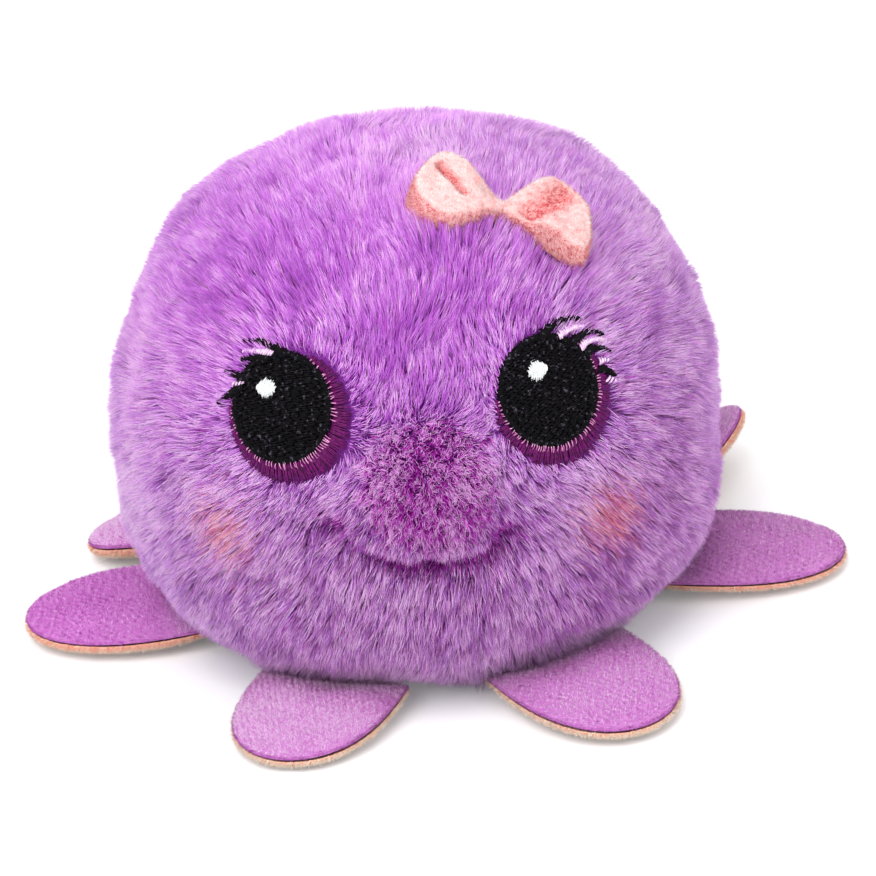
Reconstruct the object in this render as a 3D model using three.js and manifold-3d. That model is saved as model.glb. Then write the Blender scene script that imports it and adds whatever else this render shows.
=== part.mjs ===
// Plush octopus: a round fur-covered body that sits on a weighted base, eight flat pillow legs sewn
// under its base seam, embroidered eyes, a stitched smile and a small fabric bow on its head.
//
// Frame: millimetres, +Z up, the face looks along -Y, +X is the viewer's right. The origin lies on
// the table under the middle of the whole toy, and the pieces are drawn about the body's own axis.
// An azimuth is counted from the front (-Y) towards +X, in degrees.
import * as THREE from 'three';
import { mergeVertices } from 'three/addons/utils/BufferGeometryUtils.js';
import Module from 'manifold-3d';

const wasm = await Module();
wasm.setup();

// Body: a ball of pressed pile, flattened below, whose outline is a superellipse.
const bodyWidth = 96;
const bodyHeight = 78.5;
const widestHeight = 26.3;
const crownFullnessShare = 2.47;
const tuckFullnessShare = 2.82;
const baseFlatDepth = 0.5;
const skinThickness = 3;
const baseSeamHeight = 4.6;
const crownHoleRadius = 1.5;
const pouchHeight = 13;
const fitGap = 0.3;
const fillGap = 0.6;
const weldGap = fitGap / 1000;

// Face: its features stand lower to the viewer's right, by this much for each millimetre.
const faceDropShare = 0.04;
const gorePanelEdges = [-60, 60, 180, 300];

// Embroidered eyes.
const eyeSpacing = 42.2;
const eyeHeight = 53.8;
const pupilDiameter = 17.2;
const rimDiameter = 20.4;
const rimShift = 1.4;
const glintWidth = 2.7;
const glintHeight = 3.4;
const glintLeft = 1.9;
const glintRise = 3.1;
const threadThickness = 0.8;
const threadSink = 0.9;
const lashWidth = 1.7;
const lashTipWidth = 0.7;
const lashSectorDegrees = [-14, 20, 55, 90, 120, 150];

// Each lash as shares of the pupil's radius: outwards and up at its root, its middle and its tip.
const lashShares = [
  [[0.07, 0.9], [0.59, 1.23], [0.97, 1]],
  [[0.55, 0.74], [0.86, 0.9], [1.16, 0.71]],
  [[0.8, 0.42], [1.06, 0.5], [1.31, 0.35]],
  [[0.92, 0.12], [1.2, 0.08], [1.36, -0.14]],
];

// Snout and smile.
const snoutHeight = 42.4;
const snoutWidth = 25;
const snoutTall = 26;
const snoutRise = 2.4;
const smileWidth = 28;
const smileHeight = 35;
const smileDrop = 5.2;
const smileThread = 1.4;

// Bow.
const bowAzimuth = 39;
const bowPlaceShare = 0.525;
const bowTurn = -42.5;
const bowLobeLength = 14.2;
const bowLobeHeight = 14;
const bowNeckHeight = 3.6;
const bowNeckEdge = 1.6;
const bowEdge = 4;
const bowPuff = 2.2;
const bowDent = 2.2;
const bowDentRadius = 3;
const bowDentPlaceShare = 0.48;
const bowMiddleShare = 0.55;
const bowSpreadShare = 0.75;
const bowEndPower = 8;
const bowTieThread = 1;
const bowOutlineShares = [0, 0.2, 0.4, 0.6, 0.78, 0.92, 0.985];

// Legs: length from the sewn root to the tip, width across the middle, and the two fabrics.
const legLength = 28;
const legWidth = 25.5;
const legEdge = 1.3;
const legPuff = 0.9;
const legFillHalf = 0.75;
const legFillGap = 0.45;
const legPinchLength = 8;
const legPinchShare = 0.6;
const legTongueShare = 3.2;
const legMiddleShare = 0.45;

// The root is sewn a little under the base seam and stands off the skin, and the tip just clears
// the table.
const legRootDrop = 0.9;
const legSeatGap = 0.8;
const tableGap = 0.3;
const legTipPuffShare = 0.4;
const legRootHeight = baseSeamHeight - legRootDrop;
const legTipHeight = fitGap / 2 + legEdge + legPuff * legTipPuffShare + tableGap;

// One row for each leg: where its root is sewn, how far it turns sideways by its tip, how far it
// rolls about itself by its tip, in degrees, its tip's lift and its length as shares of legLength, its
// width as a share of legWidth, and the share of that width by which its root is gathered.
const legRows = [
  ['front_left', -27.5, 0, 0, 0, 0.83, 1, 0.02],
  ['front_right', 28, 6, 0, 0.02, 0.96, 1, 0.02],
  ['side_left', -87.5, -12, 0, 0.03, 1.1, 1.06, 0.16],
  ['side_right', 86, -14, 0, 0.01, 1.09, 1, 0.1],
  ['back_left', -125, 79, 12, 0.06, 1, 0.94, 0.16],
  ['back_right', 123, 10, -30, 0.2, 1, 0.94, 0.16],
  ['rear_left', -161.5, 6, 0, 0, 0.96, 1, 0.16],
  ['rear_right', 161.5, -6, 0, 0.02, 0.98, 1, 0.16],
].map(([name, azimuth, turn, roll, liftShare, lengthShare, widthShare, gatherShare]) => ({
  name, azimuth, turn, roll, liftShare, lengthShare, widthShare, gatherShare,
}));

// Shares of the leg's length at which its outline is drawn, and of an outline at which rings lie.
const legOutlineShares = [0, 0.15, 0.35, 0.55, 0.72, 0.86, 0.95];
const legRootShares = [-0.5, 0, 0.5];
const pillowRingShares = [0.5, 0.82, 1];
const fillingRingShares = [0.5, 0.8];
const discRingShares = [0.5, 1];

// How finely each form is divided.
const frontColumnCount = 20;
const frontRowCount = 16;
const sideColumnCount = 14;
const sideRowCount = 12;
const skinSegmentCount = 40;
const innerSegmentCount = 28;
const innerRowCount = 12;
const baseRowCount = 8;
const baseInnerRowCount = 5;
const pouchRowCount = 6;
const discCornerCount = 28;
const glintCornerCount = 14;
const threadSideCount = 6;
const smileStepCount = 24;
const smileKnotCount = 12;
const lashStepCount = 4;
const snoutSegmentCount = 18;
const snoutRowCount = 12;
const tieSideCount = 8;
const tieSegmentCount = 20;
const legBendCount = 8;
const halvingCount = 40;

const furLilac = { color: 0xb583d6, roughness: 0.95, metalness: 0 };
const shortPile = { color: 0xb35bc0, roughness: 0.9, metalness: 0 };
const peachPile = { color: 0xf6b9a2, roughness: 0.9, metalness: 0 };
const fibreFill = { color: 0xf2f0ea, roughness: 1, metalness: 0 };
const pelletBag = { color: 0xd9d4c8, roughness: 0.9, metalness: 0 };
const blackThread = { color: 0x0b0a10, roughness: 0.45, metalness: 0 };
const plumThread = { color: 0x6e1168, roughness: 0.5, metalness: 0 };
const whiteThread = { color: 0xf7f7fb, roughness: 0.5, metalness: 0 };
const smileYarn = { color: 0x5e1a66, roughness: 0.7, metalness: 0 };
const bowPile = { color: 0xf7a99c, roughness: 0.9, metalness: 0 };

const radians = (degrees) => THREE.MathUtils.degToRad(degrees);
const outward = (azimuth) => new THREE.Vector3(Math.sin(azimuth), -Math.cos(azimuth), 0);
const along = (azimuth) => new THREE.Vector3(Math.cos(azimuth), Math.sin(azimuth), 0);
const up = new THREE.Vector3(0, 0, 1);

// Radius and height of the body's outline, from -1 under the base through 0 at the widest place to
// 1 at the crown, drawn in by an inset.
function outlinePoint(level, inset) {
  const angle = Math.abs(level) * Math.PI / 2;
  const power = 2 / (level < 0 ? tuckFullnessShare : crownFullnessShare);
  const radius = (bodyWidth / 2 - inset) * Math.max(0, Math.cos(angle)) ** power;
  const reach = level < 0 ? widestHeight + baseFlatDepth : bodyHeight - widestHeight;
  const height = widestHeight + Math.sign(level) * (reach - inset) * Math.sin(angle) ** power;
  return { radius, height: Math.max(height, inset) };
}

// The level whose outline passes a given height below the widest place.
function levelAtHeight(height, inset) {
  const share = (widestHeight - height) / (widestHeight + baseFlatDepth - inset);
  return -Math.asin(share ** (tuckFullnessShare / 2)) / (Math.PI / 2);
}

// The level whose outline has a given radius above the widest place.
function levelAtRadius(radius, inset) {
  const share = radius / (bodyWidth / 2 - inset);
  return Math.acos(share ** (crownFullnessShare / 2)) / (Math.PI / 2);
}

// Below zero inside the body drawn in by the inset, above zero outside.
function bodyField(point, inset) {
  const below = point.z < widestHeight;
  const power = below ? tuckFullnessShare : crownFullnessShare;
  const reach = below ? widestHeight + baseFlatDepth : bodyHeight - widestHeight;
  const across = Math.hypot(point.x, point.y) / (bodyWidth / 2 - inset);
  const rise = Math.abs(point.z - widestHeight) / (reach - inset);
  return across ** power + rise ** power - 1;
}

// How far along a direction from a point the inset body's surface lies.
function reachSurface(point, direction, inset) {
  let inner = -bodyHeight / 3;
  let outer = bodyHeight / 3;
  const probe = new THREE.Vector3();
  for (let step = 0; step < halvingCount; step += 1) {
    const middle = (inner + outer) / 2;
    probe.copy(direction).multiplyScalar(middle).add(point);
    if (bodyField(probe, inset) < 0) inner = middle;
    else outer = middle;
  }
  return outer;
}

// A frame on the body: its origin on the skin, right along the skin, rise up it and normal out.
function skinFrame(origin, turn = 0) {
  const step = fitGap / 10;
  const slope = (axis) => {
    const shift = new THREE.Vector3().setComponent(axis, step);
    const ahead = bodyField(origin.clone().add(shift), 0);
    return ahead - bodyField(origin.clone().sub(shift), 0);
  };
  const normal = new THREE.Vector3(slope(0), slope(1), slope(2)).normalize();
  const right = up.clone().cross(normal).normalize().applyAxisAngle(normal, radians(turn));
  return { origin, right, rise: normal.clone().cross(right), normal };
}

// A frame where the face has a feature, sideways from the middle and at a height.
function faceFrame(sideways, height) {
  const start = new THREE.Vector3(sideways, 0, height - sideways * faceDropShare);
  const forward = new THREE.Vector3(0, -1, 0);
  const depth = reachSurface(start.clone().addScaledVector(forward, bodyWidth / 3), forward, 0);
  return skinFrame(start.addScaledVector(forward, bodyWidth / 3 + depth));
}

// A point given in a frame's own right, rise and normal.
function framePoint(frame, sideways, rise, out) {
  return frame.origin.clone()
    .addScaledVector(frame.right, sideways)
    .addScaledVector(frame.rise, rise)
    .addScaledVector(frame.normal, out);
}

// A point of a frame's plane carried along its normal onto the inset body.
function onSkin(frame, sideways, rise, inset) {
  const flat = framePoint(frame, sideways, rise, 0);
  return flat.addScaledVector(frame.normal, reachSurface(flat, frame.normal, inset));
}

// A closed mesh from faces of three or four points, with shared corners merged.
function closedGeometry(faces) {
  const positions = [];
  for (const [first, ...others] of faces) {
    others.slice(1).forEach((point, at) => {
      for (const corner of [first, others[at], point]) positions.push(...corner.toArray());
    });
  }
  const soup = new THREE.BufferGeometry();
  soup.setAttribute('position', new THREE.Float32BufferAttribute(positions, 3));
  const merged = mergeVertices(soup, weldGap);
  const index = merged.getIndex().array;
  const kept = [];
  for (let at = 0; at < index.length; at += 3) {
    const [a, b, c] = index.slice(at, at + 3);
    if (a !== b && b !== c && a !== c) kept.push(a, b, c);
  }
  merged.setIndex(kept);
  return merged;
}

// A solid between two surfaces over an outline. The outline runs anticlockwise seen from above, and
// each surface gives the point for a place on the plane and its share of the way to the edge.
function pillowGeometry(outline, middle, rings, topAt, bottomAt) {
  const place = (corner, share) => [0, 1].map((k) => middle[k] + share * (corner[k] - middle[k]));
  const faces = [];
  const point = (surface, corner, share) => surface(...place(corner, share), share);
  outline.forEach((corner, at) => {
    const next = outline[(at + 1) % outline.length];
    for (const [surface, flip] of [[topAt, false], [bottomAt, true]]) {
      const add = (face) => faces.push(flip ? face.reverse() : face);
      add([surface(...middle, 0), point(surface, corner, rings[0]), point(surface, next, rings[0])]);
      for (let ring = 1; ring < rings.length; ring += 1) {
        add([
          point(surface, corner, rings[ring - 1]), point(surface, corner, rings[ring]),
          point(surface, next, rings[ring]), point(surface, next, rings[ring - 1]),
        ]);
      }
    }
    const rim = rings[rings.length - 1];
    faces.push([
      point(bottomAt, corner, rim), point(bottomAt, next, rim),
      point(topAt, next, rim), point(topAt, corner, rim),
    ]);
  });
  return closedGeometry(faces);
}

// How full a pillow is at a share of the way from its middle to its edge.
const fullness = (share) => Math.sqrt(Math.max(0, 1 - share ** 2));

function toManifold(geometry) {
  const plain = new THREE.BufferGeometry();
  plain.setAttribute('position', geometry.getAttribute('position').clone());
  if (geometry.index) plain.setIndex(geometry.index.clone());
  const merged = mergeVertices(plain, weldGap);
  return new wasm.Manifold(new wasm.Mesh({
    numProp: 3,
    vertProperties: new Float32Array(merged.getAttribute('position').array),
    triVerts: new Uint32Array(merged.getIndex().array),
  }));
}

function fromManifold(solid) {
  const mesh = solid.getMesh();
  const geometry = new THREE.BufferGeometry();
  geometry.setAttribute('position', new THREE.BufferAttribute(mesh.vertProperties, 3));
  geometry.setIndex(new THREE.BufferAttribute(mesh.triVerts, 1));
  return geometry;
}

// One gore of the skin, between two azimuths, from the base seam to the crown.
function goreGeometry(firstEdge, lastEdge, columns, rows) {
  const lowest = levelAtHeight(baseSeamHeight + fitGap / 2, 0);
  const highest = levelAtRadius(crownHoleRadius, 0);
  const point = (column, row, inset) => {
    const level = lowest + (highest - lowest) * row / rows;
    const { radius, height } = outlinePoint(level, inset);
    const seam = Math.asin(Math.min(1, fitGap / 2 / radius));
    const start = radians(firstEdge) + seam;
    const azimuth = start + (radians(lastEdge - firstEdge) - 2 * seam) * column / columns;
    return outward(azimuth).multiplyScalar(radius).setZ(height);
  };
  const faces = [];
  const wall = (...corners) => faces.push(corners.map(([column, row, inset]) => point(column, row, inset)));
  for (let column = 0; column < columns; column += 1) {
    for (let row = 0; row < rows; row += 1) {
      wall([column, row, 0], [column + 1, row, 0], [column + 1, row + 1, 0], [column, row + 1, 0]);
      wall(
        [column, row, skinThickness], [column, row + 1, skinThickness],
        [column + 1, row + 1, skinThickness], [column + 1, row, skinThickness],
      );
    }
    wall([column, 0, skinThickness], [column + 1, 0, skinThickness], [column + 1, 0, 0], [column, 0, 0]);
    wall(
      [column, rows, 0], [column + 1, rows, 0],
      [column + 1, rows, skinThickness], [column, rows, skinThickness],
    );
  }
  for (let row = 0; row < rows; row += 1) {
    wall([0, row, skinThickness], [0, row, 0], [0, row + 1, 0], [0, row + 1, skinThickness]);
    wall(
      [columns, row, 0], [columns, row, skinThickness],
      [columns, row + 1, skinThickness], [columns, row + 1, 0],
    );
  }
  return closedGeometry(faces);
}

// A solid of revolution about the body's axis from points of radius and height, bottom first.
function turnedGeometry(points, segments) {
  const lathe = new THREE.LatheGeometry(points.map(([r, z]) => new THREE.Vector2(r, z)), segments);
  lathe.deleteAttribute('normal');
  lathe.deleteAttribute('uv');
  lathe.rotateX(Math.PI / 2);
  const index = lathe.getIndex().array;
  const corner = new THREE.Vector3();
  const at = (vertex) => corner.fromBufferAttribute(lathe.getAttribute('position'), vertex).clone();
  const faces = [];
  for (let face = 0; face < index.length; face += 3) {
    faces.push([at(index[face]), at(index[face + 1]), at(index[face + 2])]);
  }
  return closedGeometry(faces);
}

// Points of the body's outline between two levels.
function outlineRun(lowest, highest, inset, steps) {
  return Array.from({ length: steps + 1 }, (_, step) => {
    const { radius, height } = outlinePoint(lowest + (highest - lowest) * step / steps, inset);
    return [radius, height];
  });
}

function basePanelGeometry() {
  const rim = levelAtHeight(baseSeamHeight - fitGap / 2, 0);
  const outer = outlineRun(-1, rim, 0, baseRowCount);
  const inner = outlineRun(-1, rim, skinThickness, baseInnerRowCount).reverse();
  return turnedGeometry([...outer, ...inner], skinSegmentCount);
}

function pouchGeometry() {
  const inset = skinThickness + fillGap;
  const wall = outlineRun(-1, levelAtHeight(pouchHeight, inset), inset, pouchRowCount);
  return turnedGeometry([...wall, [0, pouchHeight]], innerSegmentCount);
}

function fillingGeometry() {
  const inset = skinThickness + fillGap;
  const start = levelAtHeight(pouchHeight + fitGap, inset);
  const wall = outlineRun(start, 1, inset, innerRowCount);
  return turnedGeometry([[0, pouchHeight + fitGap], ...wall], innerSegmentCount);
}

// Points of an ellipse in a frame's plane.
function ellipseOutline(width, height, count, centre = [0, 0]) {
  return Array.from({ length: count }, (_, at) => {
    const angle = 2 * Math.PI * at / count;
    return [centre[0] + width / 2 * Math.cos(angle), centre[1] + height / 2 * Math.sin(angle)];
  });
}

// A thin embroidered patch that follows the skin between two insets.
function patchGeometry(frame, outline, middle, rings, topInset, bottomInset) {
  const top = (a, b) => onSkin(frame, a, b, topInset);
  const bottom = (a, b) => onSkin(frame, a, b, bottomInset);
  return pillowGeometry(outline, middle, rings, top, bottom);
}

// The outline of one lash, a curved tapering stroke, widened by a margin.
function lashOutline(shares, side, margin) {
  const curve = new THREE.QuadraticBezierCurve3(
    ...shares.map(([out, rise]) => new THREE.Vector3(side * out, rise, 0).multiplyScalar(pupilDiameter / 2)),
  );
  const left = [];
  const right = [];
  for (let step = 0; step <= lashStepCount; step += 1) {
    const share = step / lashStepCount;
    const spot = curve.getPoint(share);
    const heading = curve.getTangent(share);
    const half = (lashWidth + (lashTipWidth - lashWidth) * share) / 2 + margin;
    spot.addScaledVector(heading, step === lashStepCount ? margin : 0);
    left.push([spot.x - heading.y * half, spot.y + heading.x * half]);
    right.push([spot.x + heading.y * half, spot.y - heading.x * half]);
  }
  return [...right, ...left.reverse()];
}

// A stroke's solid, built slice by slice because a bent stroke has no single middle.
function strokeGeometry(frame, outline, topInset, bottomInset) {
  const count = outline.length / 2;
  const faces = [];
  const top = outline.map(([a, b]) => onSkin(frame, a, b, topInset));
  const bottom = outline.map(([a, b]) => onSkin(frame, a, b, bottomInset));
  for (let at = 0; at < count - 1; at += 1) {
    const far = outline.length - 1 - at;
    faces.push([top[at], top[at + 1], top[far - 1], top[far]]);
    faces.push([bottom[far], bottom[far - 1], bottom[at + 1], bottom[at]]);
  }
  outline.forEach((_, at) => {
    const next = (at + 1) % outline.length;
    faces.push([bottom[at], bottom[next], top[next], top[at]]);
  });
  return closedGeometry(faces);
}

// The pupil's disc joined with its lashes, grown by a margin and between two insets.
function pupilSolid(frame, side, margin, topInset, bottomInset) {
  const diameter = pupilDiameter + 2 * margin;
  const outline = ellipseOutline(diameter, diameter, discCornerCount);
  let solid = toManifold(patchGeometry(frame, outline, [0, 0], discRingShares, topInset, bottomInset));
  for (const shares of lashShares) {
    const stroke = strokeGeometry(frame, lashOutline(shares, side, margin), topInset, bottomInset);
    solid = solid.add(toManifold(stroke));
  }
  return solid;
}

function rimSolid(frame, margin, topInset, bottomInset) {
  const centre = [rimShift, -rimShift];
  const diameter = rimDiameter + 2 * margin;
  const outline = ellipseOutline(diameter, diameter, discCornerCount, centre);
  return toManifold(patchGeometry(frame, outline, centre, discRingShares, topInset, bottomInset));
}

// The wedge over the pupil that belongs to the lashes, where the rim stops.
function lashSector({ side, frame }) {
  const arc = lashSectorDegrees.map((degrees) => {
    const angle = radians(degrees);
    return [side * rimDiameter * Math.cos(angle), rimDiameter * Math.sin(angle)];
  });
  const outline = [[0, 0], ...arc];
  if (side < 0) outline.reverse();
  return toManifold(patchGeometry(frame, outline, [0, rimDiameter / 3], [1], -snoutRise, skinThickness));
}

const eyes = [
  { name: 'left_eye', side: -1, frame: faceFrame(-eyeSpacing / 2, eyeHeight) },
  { name: 'right_eye', side: 1, frame: faceFrame(eyeSpacing / 2, eyeHeight) },
];

// The smile's course, just under the skin.
function smileCurve() {
  const points = [];
  for (let step = 0; step <= smileKnotCount; step += 1) {
    const share = 2 * step / smileKnotCount - 1;
    const frame = faceFrame(smileWidth / 2 * share, smileHeight - smileDrop * (1 - share ** 2));
    points.push(framePoint(frame, 0, 0, -threadSink));
  }
  return new THREE.CatmullRomCurve3(points);
}

function smileTube(curve, diameter, stretch) {
  const outline = new THREE.Shape(
    ellipseOutline(diameter, diameter, threadSideCount).map(([x, y]) => new THREE.Vector2(x, y)),
  );
  const points = curve.getPoints(smileStepCount);
  const last = points.length - 1;
  const lead = points[0].clone().sub(points[1]).setLength(stretch);
  const trail = points[last].clone().sub(points[last - 1]).setLength(stretch);
  points[0].add(lead);
  points[last].add(trail);
  const extrudePath = new THREE.CatmullRomCurve3(points);
  return new THREE.ExtrudeGeometry(outline, { steps: smileStepCount, extrudePath, bevelEnabled: false });
}

// The snout, a shallow dome whose middle lies under the skin.
function snoutGeometry() {
  const frame = faceFrame(0, snoutHeight);
  const snout = new THREE.SphereGeometry(1, snoutSegmentCount, snoutRowCount);
  snout.deleteAttribute('normal');
  snout.deleteAttribute('uv');
  snout.scale(snoutWidth / 2, snoutTall / 2, snoutRise * 2);
  const basis = new THREE.Matrix4().makeBasis(frame.right, frame.rise, frame.normal);
  return snout.applyMatrix4(basis.setPosition(framePoint(frame, 0, 0, -snoutRise)));
}

// The face: the front gore with a soft snout raised on it, and pockets for the embroidery.
function facePanelGeometry() {
  const [left, right] = gorePanelEdges;
  let panel = toManifold(goreGeometry(left, right, frontColumnCount, frontRowCount));
  const inside = outlineRun(-1, 1, skinThickness, frontRowCount);
  const core = toManifold(turnedGeometry(inside, skinSegmentCount));
  panel = panel.add(toManifold(snoutGeometry()).subtract(core));
  const floor = threadSink + threadThickness + fitGap;
  const above = -snoutRise;
  for (const { side, frame } of eyes) {
    panel = panel.subtract(pupilSolid(frame, side, fitGap, above, floor));
    panel = panel.subtract(rimSolid(frame, fitGap, above, floor));
  }
  return fromManifold(panel.subtract(toManifold(smileTube(smileCurve(), smileThread + 2 * fitGap, fitGap))));
}

function pupilGeometry({ side, frame }) {
  return fromManifold(pupilSolid(frame, side, 0, threadSink, threadSink + threadThickness));
}

function rimGeometry(eye) {
  const { side, frame } = eye;
  const rim = rimSolid(frame, 0, threadSink, threadSink + threadThickness).subtract(lashSector(eye));
  return fromManifold(rim.subtract(pupilSolid(frame, side, fitGap, -snoutRise, skinThickness)));
}

function glintGeometry({ frame }) {
  const centre = [-glintLeft, glintRise];
  const outline = ellipseOutline(glintWidth, glintHeight, glintCornerCount, centre);
  const bottom = threadSink - fitGap;
  return patchGeometry(frame, outline, centre, [1], bottom - threadThickness / 2, bottom);
}

// The bow lies on the head in a frame of its own: sideways along the bow, rise across it.
function bowFrame() {
  const spot = outlinePoint(levelAtRadius(bodyWidth / 2 * bowPlaceShare, 0), 0);
  const origin = outward(radians(bowAzimuth)).multiplyScalar(spot.radius).setZ(spot.height);
  return skinFrame(origin, bowTurn);
}

const bowTieHalfHeight = bowNeckEdge / 2 + fitGap + bowTieThread;
const bowNeckLift = bowTieHalfHeight - bowNeckEdge / 2;

// Half the lobe's height at a share of its length: narrow at the neck, full, round at its end.
function bowHalfHeight(share) {
  const spread = Math.sin(Math.PI / 2 * Math.min(1, share / bowSpreadShare));
  const half = bowNeckHeight / 2 + (bowLobeHeight - bowNeckHeight) / 2 * spread;
  return half * Math.sqrt(Math.max(0, 1 - share ** bowEndPower));
}

function bowLobeGeometry(frame, side) {
  const start = fitGap / 2;
  const reach = bowLobeLength - start;
  const edge = (share, sign) => [side * (start + reach * share), sign * bowHalfHeight(share)];
  const lower = bowOutlineShares.map((share) => edge(share, -side));
  const upper = bowOutlineShares.map((share) => edge(share, side)).reverse();
  const tip = [[side * bowLobeLength, 0]];
  const outline = [...lower, ...tip, ...upper];
  const seat = (a, b) => {
    const flat = framePoint(frame, a, b, 0);
    const neck = (1 - Math.min(1, Math.abs(a) / bowLobeLength)) ** 2;
    return reachSurface(flat, frame.normal, 0) + fitGap + bowNeckLift * neck;
  };
  const dentAt = (a, b) => {
    const away = Math.hypot(Math.abs(a) - bowLobeLength * bowDentPlaceShare, b) / bowDentRadius;
    return bowDent * Math.exp(-(away ** 2));
  };
  const edgeAt = (a) => {
    const opened = THREE.MathUtils.smoothstep(Math.abs(a), 0, bowLobeLength * bowMiddleShare);
    return bowNeckEdge + (bowEdge - bowNeckEdge) * opened;
  };
  const bottom = (a, b) => framePoint(frame, a, b, seat(a, b));
  const top = (a, b, share) => {
    const puff = (bowPuff - dentAt(a, b)) * fullness(share);
    return framePoint(frame, a, b, seat(a, b) + edgeAt(a) + puff);
  };
  const middle = [side * bowLobeLength * bowMiddleShare, 0];
  return pillowGeometry(outline, middle, pillowRingShares, top, bottom);
}

// The thread that gathers the bow's neck, an oval ring.
function bowTieGeometry(frame) {
  const across = bowNeckHeight / 2 + 2 * fitGap + bowTieThread / 2;
  const ring = new THREE.TorusGeometry(across, bowTieThread / 2, tieSideCount, tieSegmentCount);
  ring.scale(1, (bowTieHalfHeight - bowTieThread / 2) / across, 1);
  ring.deleteAttribute('normal');
  ring.deleteAttribute('uv');
  const centre = framePoint(frame, 0, 0, fitGap + bowTieHalfHeight);
  const basis = new THREE.Matrix4().makeBasis(frame.rise, frame.normal, frame.right);
  ring.applyMatrix4(basis.setPosition(centre));
  return mergeVertices(ring, weldGap);
}

// Half a leg's width at a share of its length.
function legHalfWidth(row, share) {
  const tongue = Math.sqrt(Math.max(0, 1 - share ** legTongueShare));
  return legWidth / 2 * row.widthShare * tongue * (1 - row.gatherShare * (1 - share) ** 3);
}

// A leg's outline on its own plane: along the leg and sideways, anticlockwise.
function legOutline(row, length) {
  const side = (sign) => legOutlineShares.map((share) => [share * length, sign * legHalfWidth(row, share)]);
  const root = legRootShares.map((share) => [0, -share * 2 * legHalfWidth(row, 0)]);
  return [...side(-1), [length, 0], ...side(1).reverse(), ...root];
}

// How far from the body's axis a leg is sewn on: outside the skin beside the root's upper edge.
function legRootRadius() {
  const edgeHeight = legRootHeight + (fitGap / 2 + legEdge) * legPinchShare;
  return outlinePoint(levelAtHeight(edgeHeight, 0), 0).radius + legSeatGap;
}

// Carries a point of the leg's own plane, with its height over that plane, into the body's frame.
function legPoint(row, length, distance, sideways, height) {
  const share = distance / length;
  const azimuth = radians(row.azimuth);
  const spot = outward(azimuth).multiplyScalar(legRootRadius());
  for (let step = 0; step < legBendCount; step += 1) {
    const heading = azimuth + radians(row.turn) * share * (step + 1 / 2) / legBendCount;
    spot.addScaledVector(outward(heading), distance / legBendCount);
  }
  const drop = (legTipHeight + row.liftShare * legLength - legRootHeight) * share;
  const pinch = THREE.MathUtils.smoothstep(distance, 0, legPinchLength);
  const thick = height * (legPinchShare + (1 - legPinchShare) * pinch);
  const roll = radians(row.roll) * share;
  const across = along(azimuth + radians(row.turn) * share);
  spot.addScaledVector(across, sideways * Math.cos(roll) - thick * Math.sin(roll));
  return spot.setZ(legRootHeight + drop + sideways * Math.sin(roll) + thick * Math.cos(roll));
}

function legPieceGeometry(row, rings, topHeight, bottomHeight) {
  const length = legLength * row.lengthShare;
  const surface = (heightAt) => (distance, sideways, share) => (
    legPoint(row, length, distance, sideways, heightAt(share))
  );
  const middle = [length * legMiddleShare, 0];
  return pillowGeometry(legOutline(row, length), middle, rings, surface(topHeight), surface(bottomHeight));
}

const legInner = (share) => fitGap / 2 + legFillHalf * fullness(share);
const legOuter = (share) => fitGap / 2 + legEdge + legPuff * fullness(share);
const legFilling = (share) => fitGap / 2 + legFillHalf * fullness(share) - legFillGap;

function add(group, name, geometry, look) {
  geometry.computeVertexNormals();
  const mesh = new THREE.Mesh(geometry, new THREE.MeshStandardMaterial(look));
  mesh.name = name;
  group.add(mesh);
}

function sideGore(at) {
  return goreGeometry(gorePanelEdges[at], gorePanelEdges[at + 1], sideColumnCount, sideRowCount);
}

function makeBody() {
  const body = new THREE.Group();
  add(body, 'face_panel', facePanelGeometry(), furLilac);
  add(body, 'right_panel', sideGore(1), furLilac);
  add(body, 'left_panel', sideGore(2), furLilac);
  add(body, 'base_panel', basePanelGeometry(), furLilac);
  add(body, 'pellet_pouch', pouchGeometry(), pelletBag);
  add(body, 'body_filling', fillingGeometry(), fibreFill);
  return body;
}

function makeFace() {
  const face = new THREE.Group();
  for (const eye of eyes) {
    add(face, `${eye.name}_pupil_and_lashes`, pupilGeometry(eye), blackThread);
    add(face, `${eye.name}_rim`, rimGeometry(eye), plumThread);
    add(face, `${eye.name}_glint`, glintGeometry(eye), whiteThread);
  }
  add(face, 'smile_thread', smileTube(smileCurve(), smileThread, 0), smileYarn);
  return face;
}

function makeBow() {
  const bow = new THREE.Group();
  const frame = bowFrame();
  add(bow, 'bow_left_lobe', bowLobeGeometry(frame, -1), bowPile);
  add(bow, 'bow_right_lobe', bowLobeGeometry(frame, 1), bowPile);
  add(bow, 'bow_tie_thread', bowTieGeometry(frame), bowPile);
  return bow;
}

function makeLeg(row) {
  const leg = new THREE.Group();
  const under = (height) => (share) => -height(share);
  const top = legPieceGeometry(row, pillowRingShares, legOuter, legInner);
  const sole = legPieceGeometry(row, pillowRingShares, under(legInner), under(legOuter));
  const filling = legPieceGeometry(row, fillingRingShares, legFilling, under(legFilling));
  add(leg, `${row.name}_leg_top`, top, shortPile);
  add(leg, `${row.name}_leg_sole`, sole, peachPile);
  add(leg, `${row.name}_leg_filling`, filling, fibreFill);
  return leg;
}

const octopus = new THREE.Group();
octopus.add(makeBody(), makeFace(), makeBow());
for (const row of legRows) octopus.add(makeLeg(row));

// The origin is the middle of the ground that the toy covers, legs included.
const middle = new THREE.Box3().setFromObject(octopus, true).getCenter(new THREE.Vector3());
octopus.position.set(-middle.x, -middle.y, 0);
octopus.updateMatrixWorld(true);

export default octopus;
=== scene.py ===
"""Looks of the plush octopus: long fur on the body, pile on the legs and bow, embroidery on the face.

Lengths are in metres. The body is drawn about its own axis, which the base panel gives. An azimuth
is counted from the front (-Y) towards +X, and a level from -1 under the base to 1 at the crown.
"""
import math
from collections import namedtuple

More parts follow.
